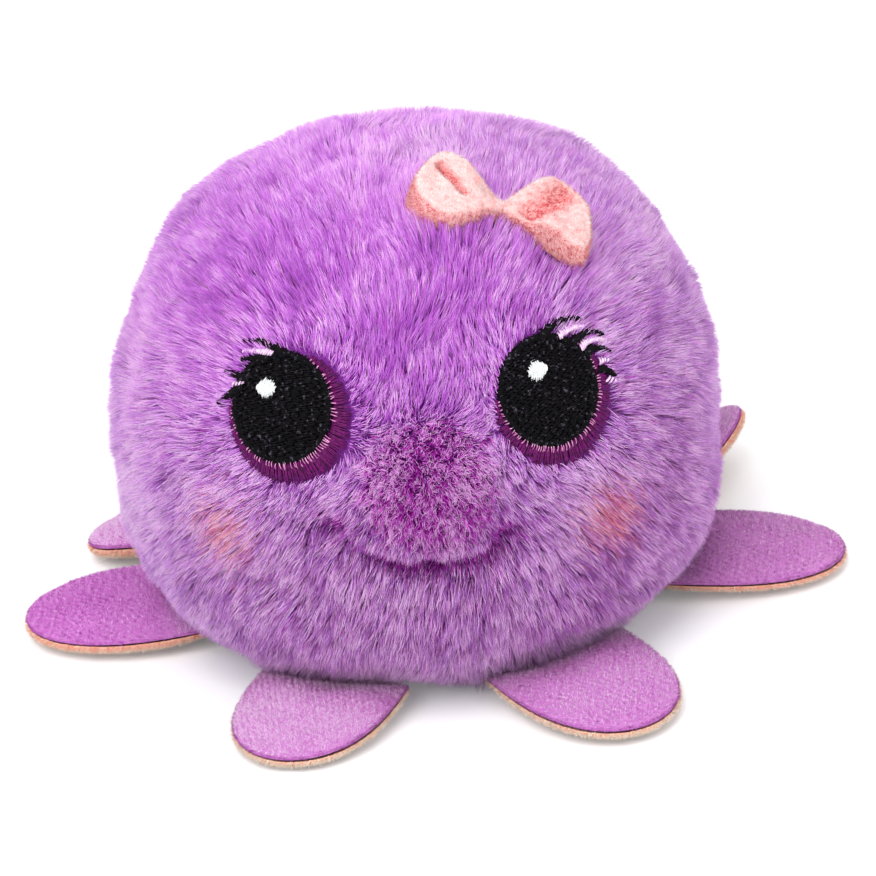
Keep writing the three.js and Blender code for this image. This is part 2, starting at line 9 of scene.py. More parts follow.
import bpy
import numpy as np
from mathutils import Matrix, Vector
from mathutils.kdtree import KDTree


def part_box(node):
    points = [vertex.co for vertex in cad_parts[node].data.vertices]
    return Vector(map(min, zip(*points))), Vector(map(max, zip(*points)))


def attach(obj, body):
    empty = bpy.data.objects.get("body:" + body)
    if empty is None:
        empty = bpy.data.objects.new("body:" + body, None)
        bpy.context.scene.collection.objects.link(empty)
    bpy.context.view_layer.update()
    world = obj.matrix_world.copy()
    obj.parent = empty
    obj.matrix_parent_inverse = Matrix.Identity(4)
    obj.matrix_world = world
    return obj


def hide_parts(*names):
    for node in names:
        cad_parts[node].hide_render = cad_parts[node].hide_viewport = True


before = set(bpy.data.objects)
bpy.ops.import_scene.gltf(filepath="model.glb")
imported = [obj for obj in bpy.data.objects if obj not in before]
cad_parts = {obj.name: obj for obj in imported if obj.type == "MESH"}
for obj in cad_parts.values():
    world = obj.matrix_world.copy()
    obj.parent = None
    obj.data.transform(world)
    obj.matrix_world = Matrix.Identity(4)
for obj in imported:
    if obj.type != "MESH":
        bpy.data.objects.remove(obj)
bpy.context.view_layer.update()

base_low, base_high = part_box("base_panel")
AXIS = np.array([(base_low.x + base_high.x) / 2, (base_low.y + base_high.y) / 2, 0.0])

# Body outline, as the panels have it.
BODY_RADIUS = 0.048
BODY_HEIGHT = 0.0785
WIDEST_HEIGHT = 0.0263
LOW_REACH = WIDEST_HEIGHT + 0.0005
HIGH_REACH = BODY_HEIGHT - WIDEST_HEIGHT
CROWN_FULLNESS = 2.47
TUCK_FULLNESS = 2.82

# Skin under the fur, and the fur: how far the skin lies below the body's outline, and how far the
# tips stand over the skin and lie along it.
SKIN_DEPTH = 0.0024
EYE_SKIN_DEPTH = 0.0016
SKIN_COLUMNS = 360
SKIN_ROWS = 220
FUR_COUNT = 300000
FUR_PROUD = 0.0015
FUR_REACH = 0.0029
FUR_WIDTH = 0.000125
FUR_SEED = 5
STRANDS_PER_PIECE = 19500
STRAY_SHARE = 0.03
STRAY_HEIGHT = 0.0009
FUR_FLOOR = 0.0002

# The fur gathers into small locks and then into large ones: how strongly, and the share of the
# strands that lead a lock. How far from its large lock's middle a strand lies in a parting, where
# painted shade makes it darkest; strands near a lock's middle get painted light.
SMALL_LOCKS = (0.5, 0.09)
LARGE_LOCKS = (0.34, 0.011)
LOCK_SIZE = 0.0012

# Zones of the fur, each from its edge to where it is full: the upright fur, as a share of the
# snout; the ruffled fur, as a share of the front and in height; and the fur over a leg, in degrees
# from the leg and in height.
SNOUT_UPRIGHT = (0.0, 0.32)
ROUGH_FRONT = (0.1, 0.75)
ROUGH_HEIGHT = (0.062, 0.046)
OVER_LEG_SPAN = (23, 15)
OVER_LEG_HEIGHT = (0.0125, 0.008)

# How far each kind of strand's shading leans towards the way the cloth faces.
FUR_SOFTNESS, LEG_SOFTNESS, BOW_SOFTNESS = 0.62, 0.75, 0.7

# Broad swellings of the fur: azimuth in degrees, height, spread and how far they stand out.
SWELLINGS = [
    (112, 0.067, 0.022, 0.0015), (-135, 0.073, 0.014, 0.0007), (-86, 0.030, 0.017, 0.0011),
    (-90, 0.017, 0.010, 0.0009), (-118, 0.070, 0.012, 0.0004), (82, 0.018, 0.012, -0.0009),
]
BOW_BANKS = ((0.0125, -0.0095), (-0.0100, -0.0090))
BOW_BANK_SIZE = (0.0042, 0.0015)
LUMP_HEIGHT = 0.00035
TUFT_HEIGHT = 0.00022

# Lighter and darker places of the fur: azimuth in degrees, height, spread and change of tone.
# Partly the fur's own uneven tone and partly painted light: the crown and the left side are
# lighter where the light from the upper left falls, and a parting at the upper left is darker as its shade.
TONE_AND_LIGHT_SPOTS = [
    (0, 0.0784, 0.018, 0.24), (-72, 0.052, 0.018, 0.4), (-76, 0.028, 0.013, 0.3),
    (-43, 0.034, 0.010, 0.26), (28, 0.038, 0.009, 0.2), (75, 0.063, 0.015, 0.2),
    (-54, 0.070, 0.014, -0.26), (0, 0.066, 0.012, -0.1), (38, 0.015, 0.012, -0.14),
    (27, 0.0456, 0.006, 0.14), (-12, 0.047, 0.005, 0.1),
]
BLUSH_SIZE = 0.0048
# How much darker the fur is painted in its partings, as their shade, for each metre of their depth.
FURROW_PAINTED_SHADE = 190

# Face features: places on the face are sideways and height, as the panels have them.
FACE_DROP = 0.04
EYE_SPACING = 0.0422
EYE_HEIGHT = 0.0538
PUPIL_RADIUS = 0.0086
THREAD_SINK = 0.0009
BACKING_DEPTH = 0.0003
BACKING_TUCK = 0.0012
SNOUT_PLACE = (0.0006, 0.0424)
SNOUT_HALF_WIDTH = 0.0125
SNOUT_HALF_TALL = 0.013
SNOUT_RISE = 0.0024
SMILE_HALF_WIDTH = 0.014
SMILE_HEIGHT = 0.035
SMILE_DROP = 0.0052
SMILE_GROOVE = 0.0026
SMILE_THREAD_DEPTH = 0.0032
SMILE_THREAD_RADIUS = 0.0005
HOLLOW_DEPTH = 0.0022

# Legs, as the solids have them.
LEG_LENGTH = 0.028
LEG_HALF_WIDTH = 0.01275
LEG_ROOT_RADIUS = 0.0368614
LEG_ROOT_HEIGHT = 0.0037
LEG_TIP_HEIGHT = 0.00211
LEG_TONGUE = 3.2
LEG_PINCH_LENGTH = 0.008
LEG_PINCH = 0.6
LEG_MIDDLE = 0.45
LEG_SEAM = 0.00015
LEG_EDGE = 0.0009
SOLE_EDGE = 0.0015
LEG_PUFF = 0.0009
SOLE_PUFF = 0.0002
SOLE_OUT = -0.0003
LEG_FLOOR = 0.0003
PILE_FLOOR = 0.00008
PILE_SINK = 0.0001
LEG_PILE_LENGTH = 0.00045
SOLE_PILE_LENGTH = 0.0009
LEG_PILE_WIDTH = 0.00014
LEG_PILE_COUNT = 20000
LEG_SEED = 11
KNIT_ALONG = 0.0019
KNIT_ACROSS = 0.0011
Leg = namedtuple("Leg", "name azimuth turn roll lift length width gather")
LEGS = [
    Leg("front_left", -27.5, 0, 0, 0, 0.83, 1, 0.02),
    Leg("front_right", 28, 6, 0, 0.02, 0.96, 1, 0.02),
    Leg("side_left", -87.5, -12, 0, 0.03, 1.1, 1.06, 0.16),
    Leg("side_right", 86, -14, 0, 0.01, 1.09, 1, 0.1),
    Leg("back_left", -125, 79, 12, 0.06, 1, 0.94, 0.16),
    Leg("back_right", 123, 10, -30, 0.2, 1, 0.94, 0.16),
    Leg("rear_left", -161.5, 6, 0, 0, 0.96, 1, 0.16),
    Leg("rear_right", 161.5, -6, 0, 0.02, 0.98, 1, 0.16),
]

# How much of its thickness the sole has at some legs' edges, where the photograph shows little of it.
SOLE_SHARES = {"front_left": 0.7, "front_right": 0.8, "side_right": 0.6}

# Tones of each leg's pile at its root and at its tip, how much of it is mauve, and how much of
# the knit's grain shows. The legs share one cloth: the darker root tones are painted shade near
# the body, and the tones that differ from leg to leg are painted light, for how the light falls on each leg's
# nap.
LEG_TONES_AND_LIGHT = {
    "front_left": (0.26, 1.0, 0.4, 0.4),
    "front_right": (0.22, 0.7, 0.25, 0.2),
    "side_left": (0.42, 0.34, 0.0, 0.16),
    "side_right": (0.3, 0.48, 0.75, 0.16),
    "back_left": (0.8, 0.85, 0.4, 0.14),
}
OTHER_LEG_TONES_AND_LIGHT = (0.45, 0.75, 0.4, 0.14)

# Inflating the legs' cloths: the scale at which that is simulated, how far a point may move and how
# far apart the pads lie, the rings and the step of columns that the coarse cloth takes of the fine
# one, and the shares of its moves that a top and a sole take in their plane and off it.
PAD_SCALE = 40
PAD_CAP = 0.0008
PAD_SPACING = 0.05
PAD_UNEVEN = 0.00006
PAD_ROOT_LENGTH = 0.0012
PAD_FRAMES = 20
PAD_RINGS = [0, 5, 10, 14, 18, 21, 24, 26, 28, 29]
PAD_COLUMNS = 3
PAD_SHARES = {1: (0.2, 0.2, 1), -1: (0.2, 0.2, 0.4)}
PAD_CLOTH = {
    "quality": 6, "mass": 0.3, "tension_stiffness": 15, "compression_stiffness": 8,
    "shear_stiffness": 5, "bending_stiffness": 1.0, "air_damping": 2, "use_pressure": True,
    "uniform_pressure_force": 0.25, "shrink_min": -0.02, "vertex_group_mass": "pinned",
}

# Bow: its place on the head and its own sizes.
BOW_AZIMUTH = 39
BOW_PLACE = 0.525
BOW_TURN = -42.5
BOW_SEAT = 0.0003
BOW_NECK_THICK = 0.0028
BOW_THICK = 0.0052
BOW_OPEN = 0.007
BOW_LEAN = 0.11
BOW_FRONT = 0.0053
BOW_DISH = 0.0007
BOW_PLEAT = 0.00025
BOW_CRUMPLE = 0.00016
BOW_BELLY = 0.0006
BOW_PILE_LENGTH = 0.00045
BOW_PILE_WIDTH = 0.00013
BOW_PILE_COUNT = 12000
BOW_SEED = 29
TIE_RADIUS = 0.0002
TIE_HALF_WIDTH = 0.00085
TIE_HALF_HEIGHT = 0.0014

# The lobes' outlines in the bow's plane, sideways and up, anticlockwise seen from above the head.
LOBES = {
    "left": [
        (0.0004, 0.001), (-0.0027, 0.0027), (-0.0056, 0.0057), (-0.0092, 0.008), (-0.012, 0.0064),
        (-0.0136, 0.0037), (-0.0143, 0.001), (-0.0139, -0.0014), (-0.0122, -0.0038),
        (-0.0101, -0.0051), (-0.0075, -0.0054), (-0.0051, -0.0046), (-0.0025, -0.0028), (0.0004, -0.001),
    ],
    "right": [
        (-0.0004, -0.001), (0.0029, -0.0028), (0.0057, -0.0042), (0.0086, -0.0053), (0.0109, -0.0061),
        (0.0127, -0.0062), (0.0138, -0.0049), (0.0141, -0.0024), (0.0136, 0.001), (0.012, 0.0041),
        (0.0094, 0.0058), (0.0062, 0.0055), (0.0032, 0.0038), (-0.0004, 0.001),
    ],
}
LOBE_MIDDLES = {"left": (-0.0086, 0.0006), "right": (0.0086, -0.0002)}

# The ellipse that stands for a lobe in the fur: its middle's place aside, its half width and half
# height, and their mean. How far from its plane the bow counts.
LOBE_ELLIPSE = (0.0078, 0.0066, 0.0062, 0.0064)
BOW_REACH = 0.02

# The fold in each lobe: its two ends, its half width and its depth.
FOLDS = {
    "left": ((-0.0104, 0.0046), (-0.0064, -0.0008), 0.00065, 0.0016),
    "right": ((0.0046, -0.0014), (0.0092, 0.0032), 0.0020, 0.0022),
}

# Embroidery: the threads' radii, the rows of the pupil and the length of their stitches.
THREAD = 0.00019
PUPIL_THREAD = 0.00015
ROW_STEP = 0.00027
STITCH_LENGTH = 0.0016
EDGE_STEP = 0.00032
STROKE_STEP = 0.00028
LID_STEP = 0.00038
RIM_STEP = 0.00017
RIM_INNER_STEP = 0.00042
LASH_WIDTH = 0.0016
LASH_TIP_WIDTH = 0.0007
LID_WIDTH = 0.0013
GLINT_HALF_WIDTH = 0.0015
GLINT_HALF_HEIGHT = 0.00185
GLINT_STITCHES = 10
EYE_SEED = 17

# The rim's middle beside and over the pupil's, and its radius. Where the rim shows, in degrees
# anticlockwise from the viewer's right. The glint's middle beside and over the pupil's.
RIMS = {"left_eye": (0.0012, -0.0014, 0.01035), "right_eye": (0.0005, -0.0019, 0.0102)}
RIM_SPANS = {"left_eye": (-178, 64), "right_eye": (-186, 44)}
GLINTS = {"left_eye": (-0.0025, 0.00265), "right_eye": (-0.0013, 0.0035)}

# Lashes and the pale stitches among them: root, bend and tip, outwards and up in pupil radii.
LASHES = {
    "left_eye": [
        [(0.02, 0.92), (0.55, 1.22), (0.93, 1.06)],
        [(0.35, 0.8), (0.62, 0.84), (0.88, 0.76)],
        [(0.67, 0.44), (0.92, 0.42), (1.2, 0.52)],
        [(0.8, 0.26), (1.1, 0.12), (1.31, -0.08)],
    ],
    "right_eye": [
        [(0.12, 0.9), (0.6, 1.25), (1.05, 1.0)],
        [(0.72, 0.64), (1.08, 0.86), (1.4, 0.6)],
        [(0.92, 0.34), (1.1, 0.56), (1.44, 0.28)],
        [(1.08, 0.04), (1.3, 0.0), (1.4, -0.17)],
    ],
}
LIDS = {
    "left_eye": [
        [(0.28, 0.93), (0.58, 0.95), (0.88, 0.9)],
        [(0.8, 0.32), (0.9, 0.3), (1.0, 0.3)],
    ],
    "right_eye": [
        [(0.5, 0.84), (0.76, 0.95), (1.04, 0.86)],
        [(0.86, 0.52), (1.14, 0.66), (1.42, 0.48)],
        [(1.16, 0.16), (1.24, 0.17), (1.34, 0.14)],
        [(1.24, -0.18), (1.3, -0.22), (1.38, -0.26)],
    ],
}

# Colour ramps: a place from 0 to 1 and the sRGB colour there. The fur's tips and roots have five
# stretches: lilac, orchid, mauve, snout and blush. The legs' have two: plum and mauve. The roots'
# colours are darker than the tips' as painted shade deep in the pile.
FUR_TIPS = [
    (0.0, 166, 88, 200), (0.15, 222, 150, 246), (0.3, 255, 222, 255),
    (0.32, 166, 64, 192), (0.4, 222, 120, 242), (0.48, 255, 198, 255),
    (0.5, 152, 78, 158), (0.57, 214, 138, 218), (0.64, 252, 204, 252),
    (0.66, 180, 12, 178), (0.74, 246, 92, 244), (0.82, 255, 210, 255),
    (0.84, 212, 84, 130), (0.92, 242, 134, 164), (1.0, 255, 194, 208),
]
FUR_SHADED_ROOTS = [
    (0.0, 100, 36, 126), (0.15, 156, 84, 188), (0.3, 214, 156, 236),
    (0.32, 102, 22, 122), (0.4, 158, 60, 180), (0.48, 208, 130, 230),
    (0.5, 92, 18, 92), (0.57, 146, 68, 150), (0.64, 204, 138, 208),
    (0.66, 112, 2, 110), (0.74, 168, 14, 166), (0.82, 206, 80, 206),
    (0.84, 160, 48, 104), (0.92, 192, 80, 126), (1.0, 222, 130, 164),
]
FUR_STRETCHES = {
    "lilac": (0.01, 0.28), "orchid": (0.33, 0.14), "mauve": (0.505, 0.13), "snout": (0.665, 0.15),
    "blush": (0.845, 0.15),
}
TOP_TIPS = [
    (0.0, 170, 52, 166), (0.16, 226, 112, 222), (0.34, 246, 176, 242), (0.48, 255, 224, 254),
    (0.52, 150, 72, 144), (0.68, 212, 138, 204), (0.84, 236, 176, 228), (1.0, 252, 216, 248),
]
TOP_SHADED_ROOTS = [
    (0.0, 110, 20, 108), (0.16, 190, 78, 186), (0.34, 222, 138, 220), (0.48, 240, 188, 240),
    (0.52, 96, 34, 92), (0.68, 182, 106, 174), (0.84, 210, 144, 204), (1.0, 234, 184, 230),
]
SOLE_TIPS = [(0.0, 252, 170, 146), (0.4, 255, 216, 192), (1.0, 255, 246, 226)]
SOLE_SHADED_ROOTS = [(0.0, 244, 146, 124), (0.4, 254, 198, 172), (1.0, 255, 230, 206)]
# The bow's ramp runs from coral, which stands for painted shade in its fold, at its neck and down its walls,
# to cream.
BOW_TIPS = [(0.0, 240, 78, 92), (0.4, 255, 168, 168), (1.0, 255, 250, 250)]
BOW_SHADED_ROOTS = [(0.0, 212, 50, 66), (0.4, 250, 136, 138), (1.0, 255, 234, 232)]
BACKING_NOISE, CLOTH_NOISE, THREAD_NOISE = 900, 1500, 1800
WHITE = (1, 1, 1, 1)

# Camera: where it aims from the body's axis, how far away it is, how high and how much it is rolled.
CAMERA_AIM = (0.00283, 0.0, 0.02745)
CAMERA_DISTANCE = 0.7
CAMERA_ELEVATION = 26.75
CAMERA_ROLL = 6.17
CAMERA_LENS = 176.9

# Lamps: azimuth, elevation, distance, size and power. How much light the surround gives. How much
# brighter the camera sees the floor, and how far away the floor turns white for it.
LAMPS = {
    "key": (-35, 52, 1.6, 1.2, 18.5),
    "fill": (50, 30, 1.8, 1.5, 9.5),
    "top": (10, 80, 1.6, 1.4, 7),
    "back": (168, 38, 1.8, 1.5, 10),
}
LAMP_AIM = (0, 0, 0.035)
SURROUND_LIGHT = 0.48
FLOOR_COLOUR = (247, 247, 249)
FLOOR_GLOW = 0.14
FLOOR_FADE = (0.3, 1.0)
FLOOR_REACH = 3.0


def unit(vectors):
    """Vectors of length one."""
    return vectors / np.maximum(np.linalg.norm(vectors, axis=-1, keepdims=True), 1e-12)


def smooth(low, high, values):
    """A smooth step from 0 at low to 1 at high."""
    t = np.clip((values - low) / (high - low), 0, 1)
    return t * t * (3 - 2 * t)


def bell(away, size):
    """1 at no distance, and about a third at the size."""
    return np.exp(-((away / size) ** 2))


def spot_bell(points, spot, size):
    """A bell about a spot in space."""
    return bell(np.linalg.norm(points - spot, axis=-1), size)


def tangential(vectors, normals):
    """What vectors have along the surface with these normals."""
    return vectors - normals * (vectors * normals).sum(-1, keepdims=True)


class Waves:
    """Smooth noise in space: a sum of plane waves about one size."""

    def __init__(self, size, seed, count=14):
        draw = np.random.default_rng(seed)
        directions = unit(draw.normal(size=(count, 3)))
        self.waves = directions * (2 * np.pi / size * draw.uniform(0.6, 1.5, (count, 1)))
        self.phases = draw.uniform(0, 2 * np.pi, count)

    def __call__(self, points):
        return np.sin(points @ self.waves.T + self.phases).sum(-1) / math.sqrt(len(self.phases) / 2)


lump_waves = Waves(0.026, 3)
tuft_waves = Waves(0.009, 4)
flow_waves = [Waves(0.016, seed) for seed in (21, 22, 23)]
ripple_waves = [Waves(0.006, seed) for seed in (31, 32, 33)]
curl_waves = [Waves(0.0013, seed) for seed in (61, 62, 63)]
tone_waves = Waves(0.011, 41)
fine_tone_waves = Waves(0.0035, 42)
finest_tone_waves = Waves(0.0014, 44)
grain_waves = Waves(0.0009, 45)
crease_waves = Waves(0.007, 46)
crumple_waves = Waves(0.0042, 51)
bow_grain_waves = Waves(0.0012, 52)


def vector_waves(waves, points):
    """Three waves as the parts of a vector."""
    return np.stack([part(points) for part in waves], -1)


def azimuth_of(points):
    return np.arctan2(points[..., 0], -points[..., 1])


def outward(azimuth):
    """The level direction at an azimuth in radians."""
    azimuth = np.asarray(azimuth, float)
    return np.stack([np.sin(azimuth), -np.cos(azimuth), np.zeros_like(azimuth)], -1)


def outline_half(below):
    """The fullness and the reach of the body's half under or over its widest height."""
    return np.where(below, TUCK_FULLNESS, CROWN_FULLNESS), np.where(below, LOW_REACH, HIGH_REACH)


def outline_radius(height):
    """The body's radius at a height."""
    power, reach = outline_half(height < WIDEST_HEIGHT)
    return BODY_RADIUS * (1 - (np.abs(height - WIDEST_HEIGHT) / reach) ** power) ** (1 / power)


def body_point(azimuth, level):
    """A point of the body's outline."""
    angle = np.abs(level) * np.pi / 2
    fullness, reach = outline_half(level < 0)
    radius = BODY_RADIUS * np.maximum(np.cos(angle), 0) ** (2 / fullness)
    height = WIDEST_HEIGHT + np.sign(level) * reach * np.sin(angle) ** (2 / fullness)
    point = outward(azimuth) * radius[..., None]
    point[..., 2] = np.maximum(height, 0)
    return point


def body_field(points):
    """Below zero inside the body's outline, and its gradient."""
    power, reach = outline_half(points[..., 2] < WIDEST_HEIGHT)
    radius = np.hypot(points[..., 0], points[..., 1])
    rise = points[..., 2] - WIDEST_HEIGHT
    across, up = radius / BODY_RADIUS, np.abs(rise) / reach
    slope = power * across ** (power - 1) / BODY_RADIUS
    level = points[..., :2] / np.maximum(radius, 1e-9)[..., None] * slope[..., None]
    steep = power * up ** (power - 1) / reach * np.sign(rise)
    return across**power + up**power - 1, np.concatenate([level, steep[..., None]], -1)


def body_normal(points):
    return unit(body_field(points)[1])


def outline_at(azimuth, height):
    """The point of the body's outline at an azimuth in degrees and a height."""
    return outline_radius(height) * outward(math.radians(azimuth)) + np.array([0, 0, height])


def face_point(sideways, height):
    """The point of the body's outline at a place on the face."""
    z = height - sideways * FACE_DROP
    radius = outline_radius(z)
    return np.stack([sideways + 0 * z, -np.sqrt(radius**2 - sideways**2), z], -1)


class Patch:
    """A place on the body with its own directions: right, rise and normal."""

    def __init__(self, origin, turn=0.0):
        self.origin = origin
        self.normal = body_normal(origin)
        right = unit(np.cross([0.0, 0.0, 1.0], self.normal))
        rise = np.cross(self.normal, right)
        self.right = right * math.cos(turn) + rise * math.sin(turn)
        self.rise = np.cross(self.normal, self.right)

    def local(self, points):
        offset = points - self.origin
        return offset @ self.right, offset @ self.rise, offset @ self.normal

    def at(self, sideways, rise, height):
        """Points over the body's outline: a place in the patch's plane, and a height along its normal."""
        sideways, rise, height = np.broadcast_arrays(sideways, rise, height)
        flat = self.origin + sideways[..., None] * self.right + rise[..., None] * self.rise
        inner = np.full(sideways.shape, -BODY_HEIGHT / 3)
        outer = np.full(sideways.shape, BODY_HEIGHT / 3)
        for _ in range(30):
            middle = (inner + outer) / 2
            inside = body_field(flat + middle[..., None] * self.normal)[0] < 0
            inner = np.where(inside, middle, inner)
            outer = np.where(inside, outer, middle)
        return flat + (outer + height)[..., None] * self.normal


def bow_patch():
    level = math.acos(BOW_PLACE ** (CROWN_FULLNESS / 2)) / (math.pi / 2)
    return Patch(body_point(math.radians(BOW_AZIMUTH), level), math.radians(BOW_TURN))


def smile_height(share):
    """The smile's height on the face, by the share of its half width."""
    return SMILE_HEIGHT - SMILE_DROP * (1 - share**2)


EYES = {
    "left_eye": Patch(face_point(-EYE_SPACING / 2, EYE_HEIGHT)),
    "right_eye": Patch(face_point(EYE_SPACING / 2, EYE_HEIGHT)),
}
BOW = bow_patch()
SNOUT = Patch(face_point(*SNOUT_PLACE))
SMILE_PLACES = np.linspace(-1, 1, 60)
SMILE = face_point(SMILE_HALF_WIDTH * SMILE_PLACES, smile_height(SMILE_PLACES))
BLUSHES = [face_point(-0.0322, 0.0316), face_point(0.0286, 0.0312)]

# Dimples beside and under the snout, with their sizes.
HOLLOWS = [
    (face_point(-0.0149, 0.0360), 0.0026),
    (face_point(0.0116, 0.0333), 0.0028),
    (face_point(-0.0004, 0.0298), 0.0015),
]

# Partings of the fur: two places on the face, the width and the depth.
FURROWS = [
    ((-0.0335, 0.0628), (-0.0284, 0.0646), 0.0016, 0.0009),
    ((-0.0284, 0.0646), (-0.0205, 0.0697), 0.0013, 0.0012),
    ((0.0205, 0.0692), (0.0262, 0.0672), 0.0014, 0.0009),
    ((-0.0075, 0.0505), (-0.0035, 0.0555), 0.0011, 0.0006),
    ((-0.0300, 0.0255), (-0.0190, 0.0235), 0.0018, 0.0009),
]
FURROW_LINES = [
    face_point(np.linspace(start[0], end[0], 8), np.linspace(start[1], end[1], 8))
    for start, end, _, _ in FURROWS
]

# Where the fur stands higher or lower: the swellings, and its banks against the bow's lower side.
BANKS = [(outline_at(azimuth, height), *size) for azimuth, height, *size in SWELLINGS]
BANKS += [(BOW.at(*place, 0.0), *BOW_BANK_SIZE) for place in BOW_BANKS]


def eye_distance(points):
    """How far points lie outside the nearer eye's embroidery, its rim and pupil."""
    best = np.full(points.shape[:-1], 1.0)
    for name, patch in EYES.items():
        right, rise, _ = patch.local(points)
        rim_right, rim_rise, rim_radius = RIMS[name]
        rim = np.hypot(right - rim_right, rise - rim_rise) - rim_radius
        lies = np.minimum(rim, np.hypot(right, rise) - PUPIL_RADIUS)
        best = np.where(points[..., 1] < 0, np.minimum(best, lies), best)
    return best


def bow_distance(points):
    """About how far points lie outside the bow's two lobes."""
    right, rise, height = BOW.local(points)
    aside, wide, tall, mean = LOBE_ELLIPSE
    lies = [(np.hypot((right - side * aside) / wide, rise / tall) - 1) * mean for side in (-1, 1)]
    return np.where(np.abs(height) > BOW_REACH, 1.0, np.minimum(*lies))


def snout_share(points):
    """1 in the middle of the snout, 0 at its edge and beyond."""
    right, rise, _ = SNOUT.local(points)
    away = np.hypot(right / SNOUT_HALF_WIDTH, rise / SNOUT_HALF_TALL)
    return np.where(points[..., 1] < 0, np.clip(1 - away, 0, 1), 0)


def line_distance(points, line, near=0.02):
    """How far points lie from a line of points, or 1 where that is further than near."""
    flat = points.reshape(-1, 3)
    found = np.full(len(flat), 1.0)
    close = np.flatnonzero(np.linalg.norm(flat - line.mean(0), axis=-1) < near)
    if len(close):
        found[close] = np.linalg.norm(flat[close, None] - line[None], axis=-1).min(1)
    return found.reshape(points.shape[:-1])


def furrow_depth(points):
    """How deep the partings of the fur are at points."""
    depth = np.zeros(points.shape[:-1])
    for line, (_, _, width, deep) in zip(FURROW_LINES, FURROWS):
        depth = np.maximum(depth, deep * bell(line_distance(points, line), width))
    return depth


def smile_rise(points):
    """How far points lie above the smile's line, and how near to its middle they are, from 0 to 1."""
    share = points[..., 0] / SMILE_HALF_WIDTH
    line = smile_height(share) - points[..., 0] * FACE_DROP
    within = np.exp(-(np.abs(share) / 1.05) ** 8) * (points[..., 1] < 0)
    return points[..., 2] - line, within


def hollow_spots(points):
    """1 in the middle of the dimples beside and under the snout, 0 away from them."""
    return sum(spot_bell(points, spot, size) for spot, size in HOLLOWS)


def hollow_share(points):
    """1 where the fur is short and painted darker as shade: under the snout's fringe and in the dimples."""
    above, within = smile_rise(points)
    return np.maximum(bell(above + 0.0014, 0.0015) * within, hollow_spots(points))


def form_raise(points):
    """How far the fur's surface stands over the body's outline."""
    snout = SNOUT_RISE * smooth(0.0, 0.62, snout_share(points))
    above, within = smile_rise(points)
    groove = SMILE_GROOVE * bell(above + 0.0004, 0.0014) * within
    hole = HOLLOW_DEPTH * hollow_spots(points)
    lumps = LUMP_HEIGHT * lump_waves(points) + TUFT_HEIGHT * tuft_waves(points)
    for middle, spread, raised in BANKS:
        lumps = lumps + raised * spot_bell(points, middle, spread)
    return snout - groove - hole + lumps * smooth(0.0, 0.006, eye_distance(points)) - furrow_depth(points)


def over_legs(points):
    """1 on the fur right above the legs' roots, 0 away from them."""
    azimuth = np.degrees(azimuth_of(points))
    near = np.zeros(azimuth.shape)
    for leg in LEGS:
        away = np.abs((azimuth - leg.azimuth + 180) % 360 - 180)
        near = np.maximum(near, smooth(*OVER_LEG_SPAN, away))
    return near * smooth(*OVER_LEG_HEIGHT, points[..., 2])


def rough_share(points):
    """1 on the lower face, whose fur is short and ruffled, 0 away from it."""
    front = smooth(*ROUGH_FRONT, -points[..., 1] / np.hypot(points[..., 0], points[..., 1]))
    return front * smooth(*ROUGH_HEIGHT, points[..., 2])


def upright_share(points):
    """1 on the snout, whose fur stands upright, 0 away from it."""
    return smooth(*SNOUT_UPRIGHT, snout_share(points))


def skin_depth(points):
    """How far the skin lies below the fur's surface."""
    deep = smooth(0.0, 0.006, eye_distance(points)) * (1 - 0.6 * upright_share(points))
    return EYE_SKIN_DEPTH + (SKIN_DEPTH - EYE_SKIN_DEPTH) * deep


def skin_point(azimuth, level):
    """A point of the skin under the fur, in the body's own frame."""
    point = body_point(azimuth, level)
    return point + body_normal(point) * (form_raise(point) - skin_depth(point))[..., None]


def new_object(name, data, look):
    """An object of the scene with one material."""
    made = bpy.data.objects.new(name, data)
    bpy.context.scene.collection.objects.link(made)
    if look:
        data.materials.append(look)
    return made


def dress(piece, slot, body="root", nodes=(), fill=None):
    """What a piece rides on, its slot (not used), the nodes that it stands for and how full it is padded (not
    used).
    """
    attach(piece, body)
    if nodes:
        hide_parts(*nodes)


def add_piece(name, arrays, look, slot, **dressing):
    dress(new_object(name, triangle_mesh(name, *arrays), look), slot, **dressing)


def add_thread(name, points, radius, look, slot, nodes, cyclic=False):
    """A round thread along a line of points."""
    curve = bpy.data.curves.new(name, "CURVE")
    curve.dimensions = "3D"
    curve.bevel_depth = radius
    spline = curve.splines.new("POLY")
    spline.points.add(len(points) - 1)
    spline.points.foreach_set("co", np.concatenate([points + AXIS, np.ones((len(points), 1))], 1).ravel())
    spline.use_cyclic_u = cyclic
    dress(new_object(name, curve, look), slot, nodes=nodes)


def triangle_mesh(name, points, triangles, uv=None, normals=None):
    """A smooth mesh from arrays of corners and triangles, with one map place for each corner of each."""
    mesh = bpy.data.meshes.new(name)
    mesh.vertices.add(len(points))
    mesh.vertices.foreach_set("co", np.ascontiguousarray(points + AXIS, np.float32).ravel())
    mesh.loops.add(3 * len(triangles))
    mesh.loops.foreach_set("vertex_index", np.ascontiguousarray(triangles, np.int32).ravel())
    mesh.polygons.add(len(triangles))
    mesh.polygons.foreach_set("loop_start", np.arange(0, 3 * len(triangles), 3, dtype=np.int32))
    mesh.polygons.foreach_set("use_smooth", np.ones(len(triangles), bool))
    if uv is not None:
        layer = mesh.uv_layers.new(name="OFBake")
        layer.data.foreach_set("uv", np.ascontiguousarray(uv, np.float32).ravel())
    if normals is not None:
        facing = mesh.attributes.new("custom_normal", "FLOAT_VECTOR", "POINT")
        facing.data.foreach_set("vector", np.ascontiguousarray(normals, np.float32).ravel())
    mesh.update()
    return mesh


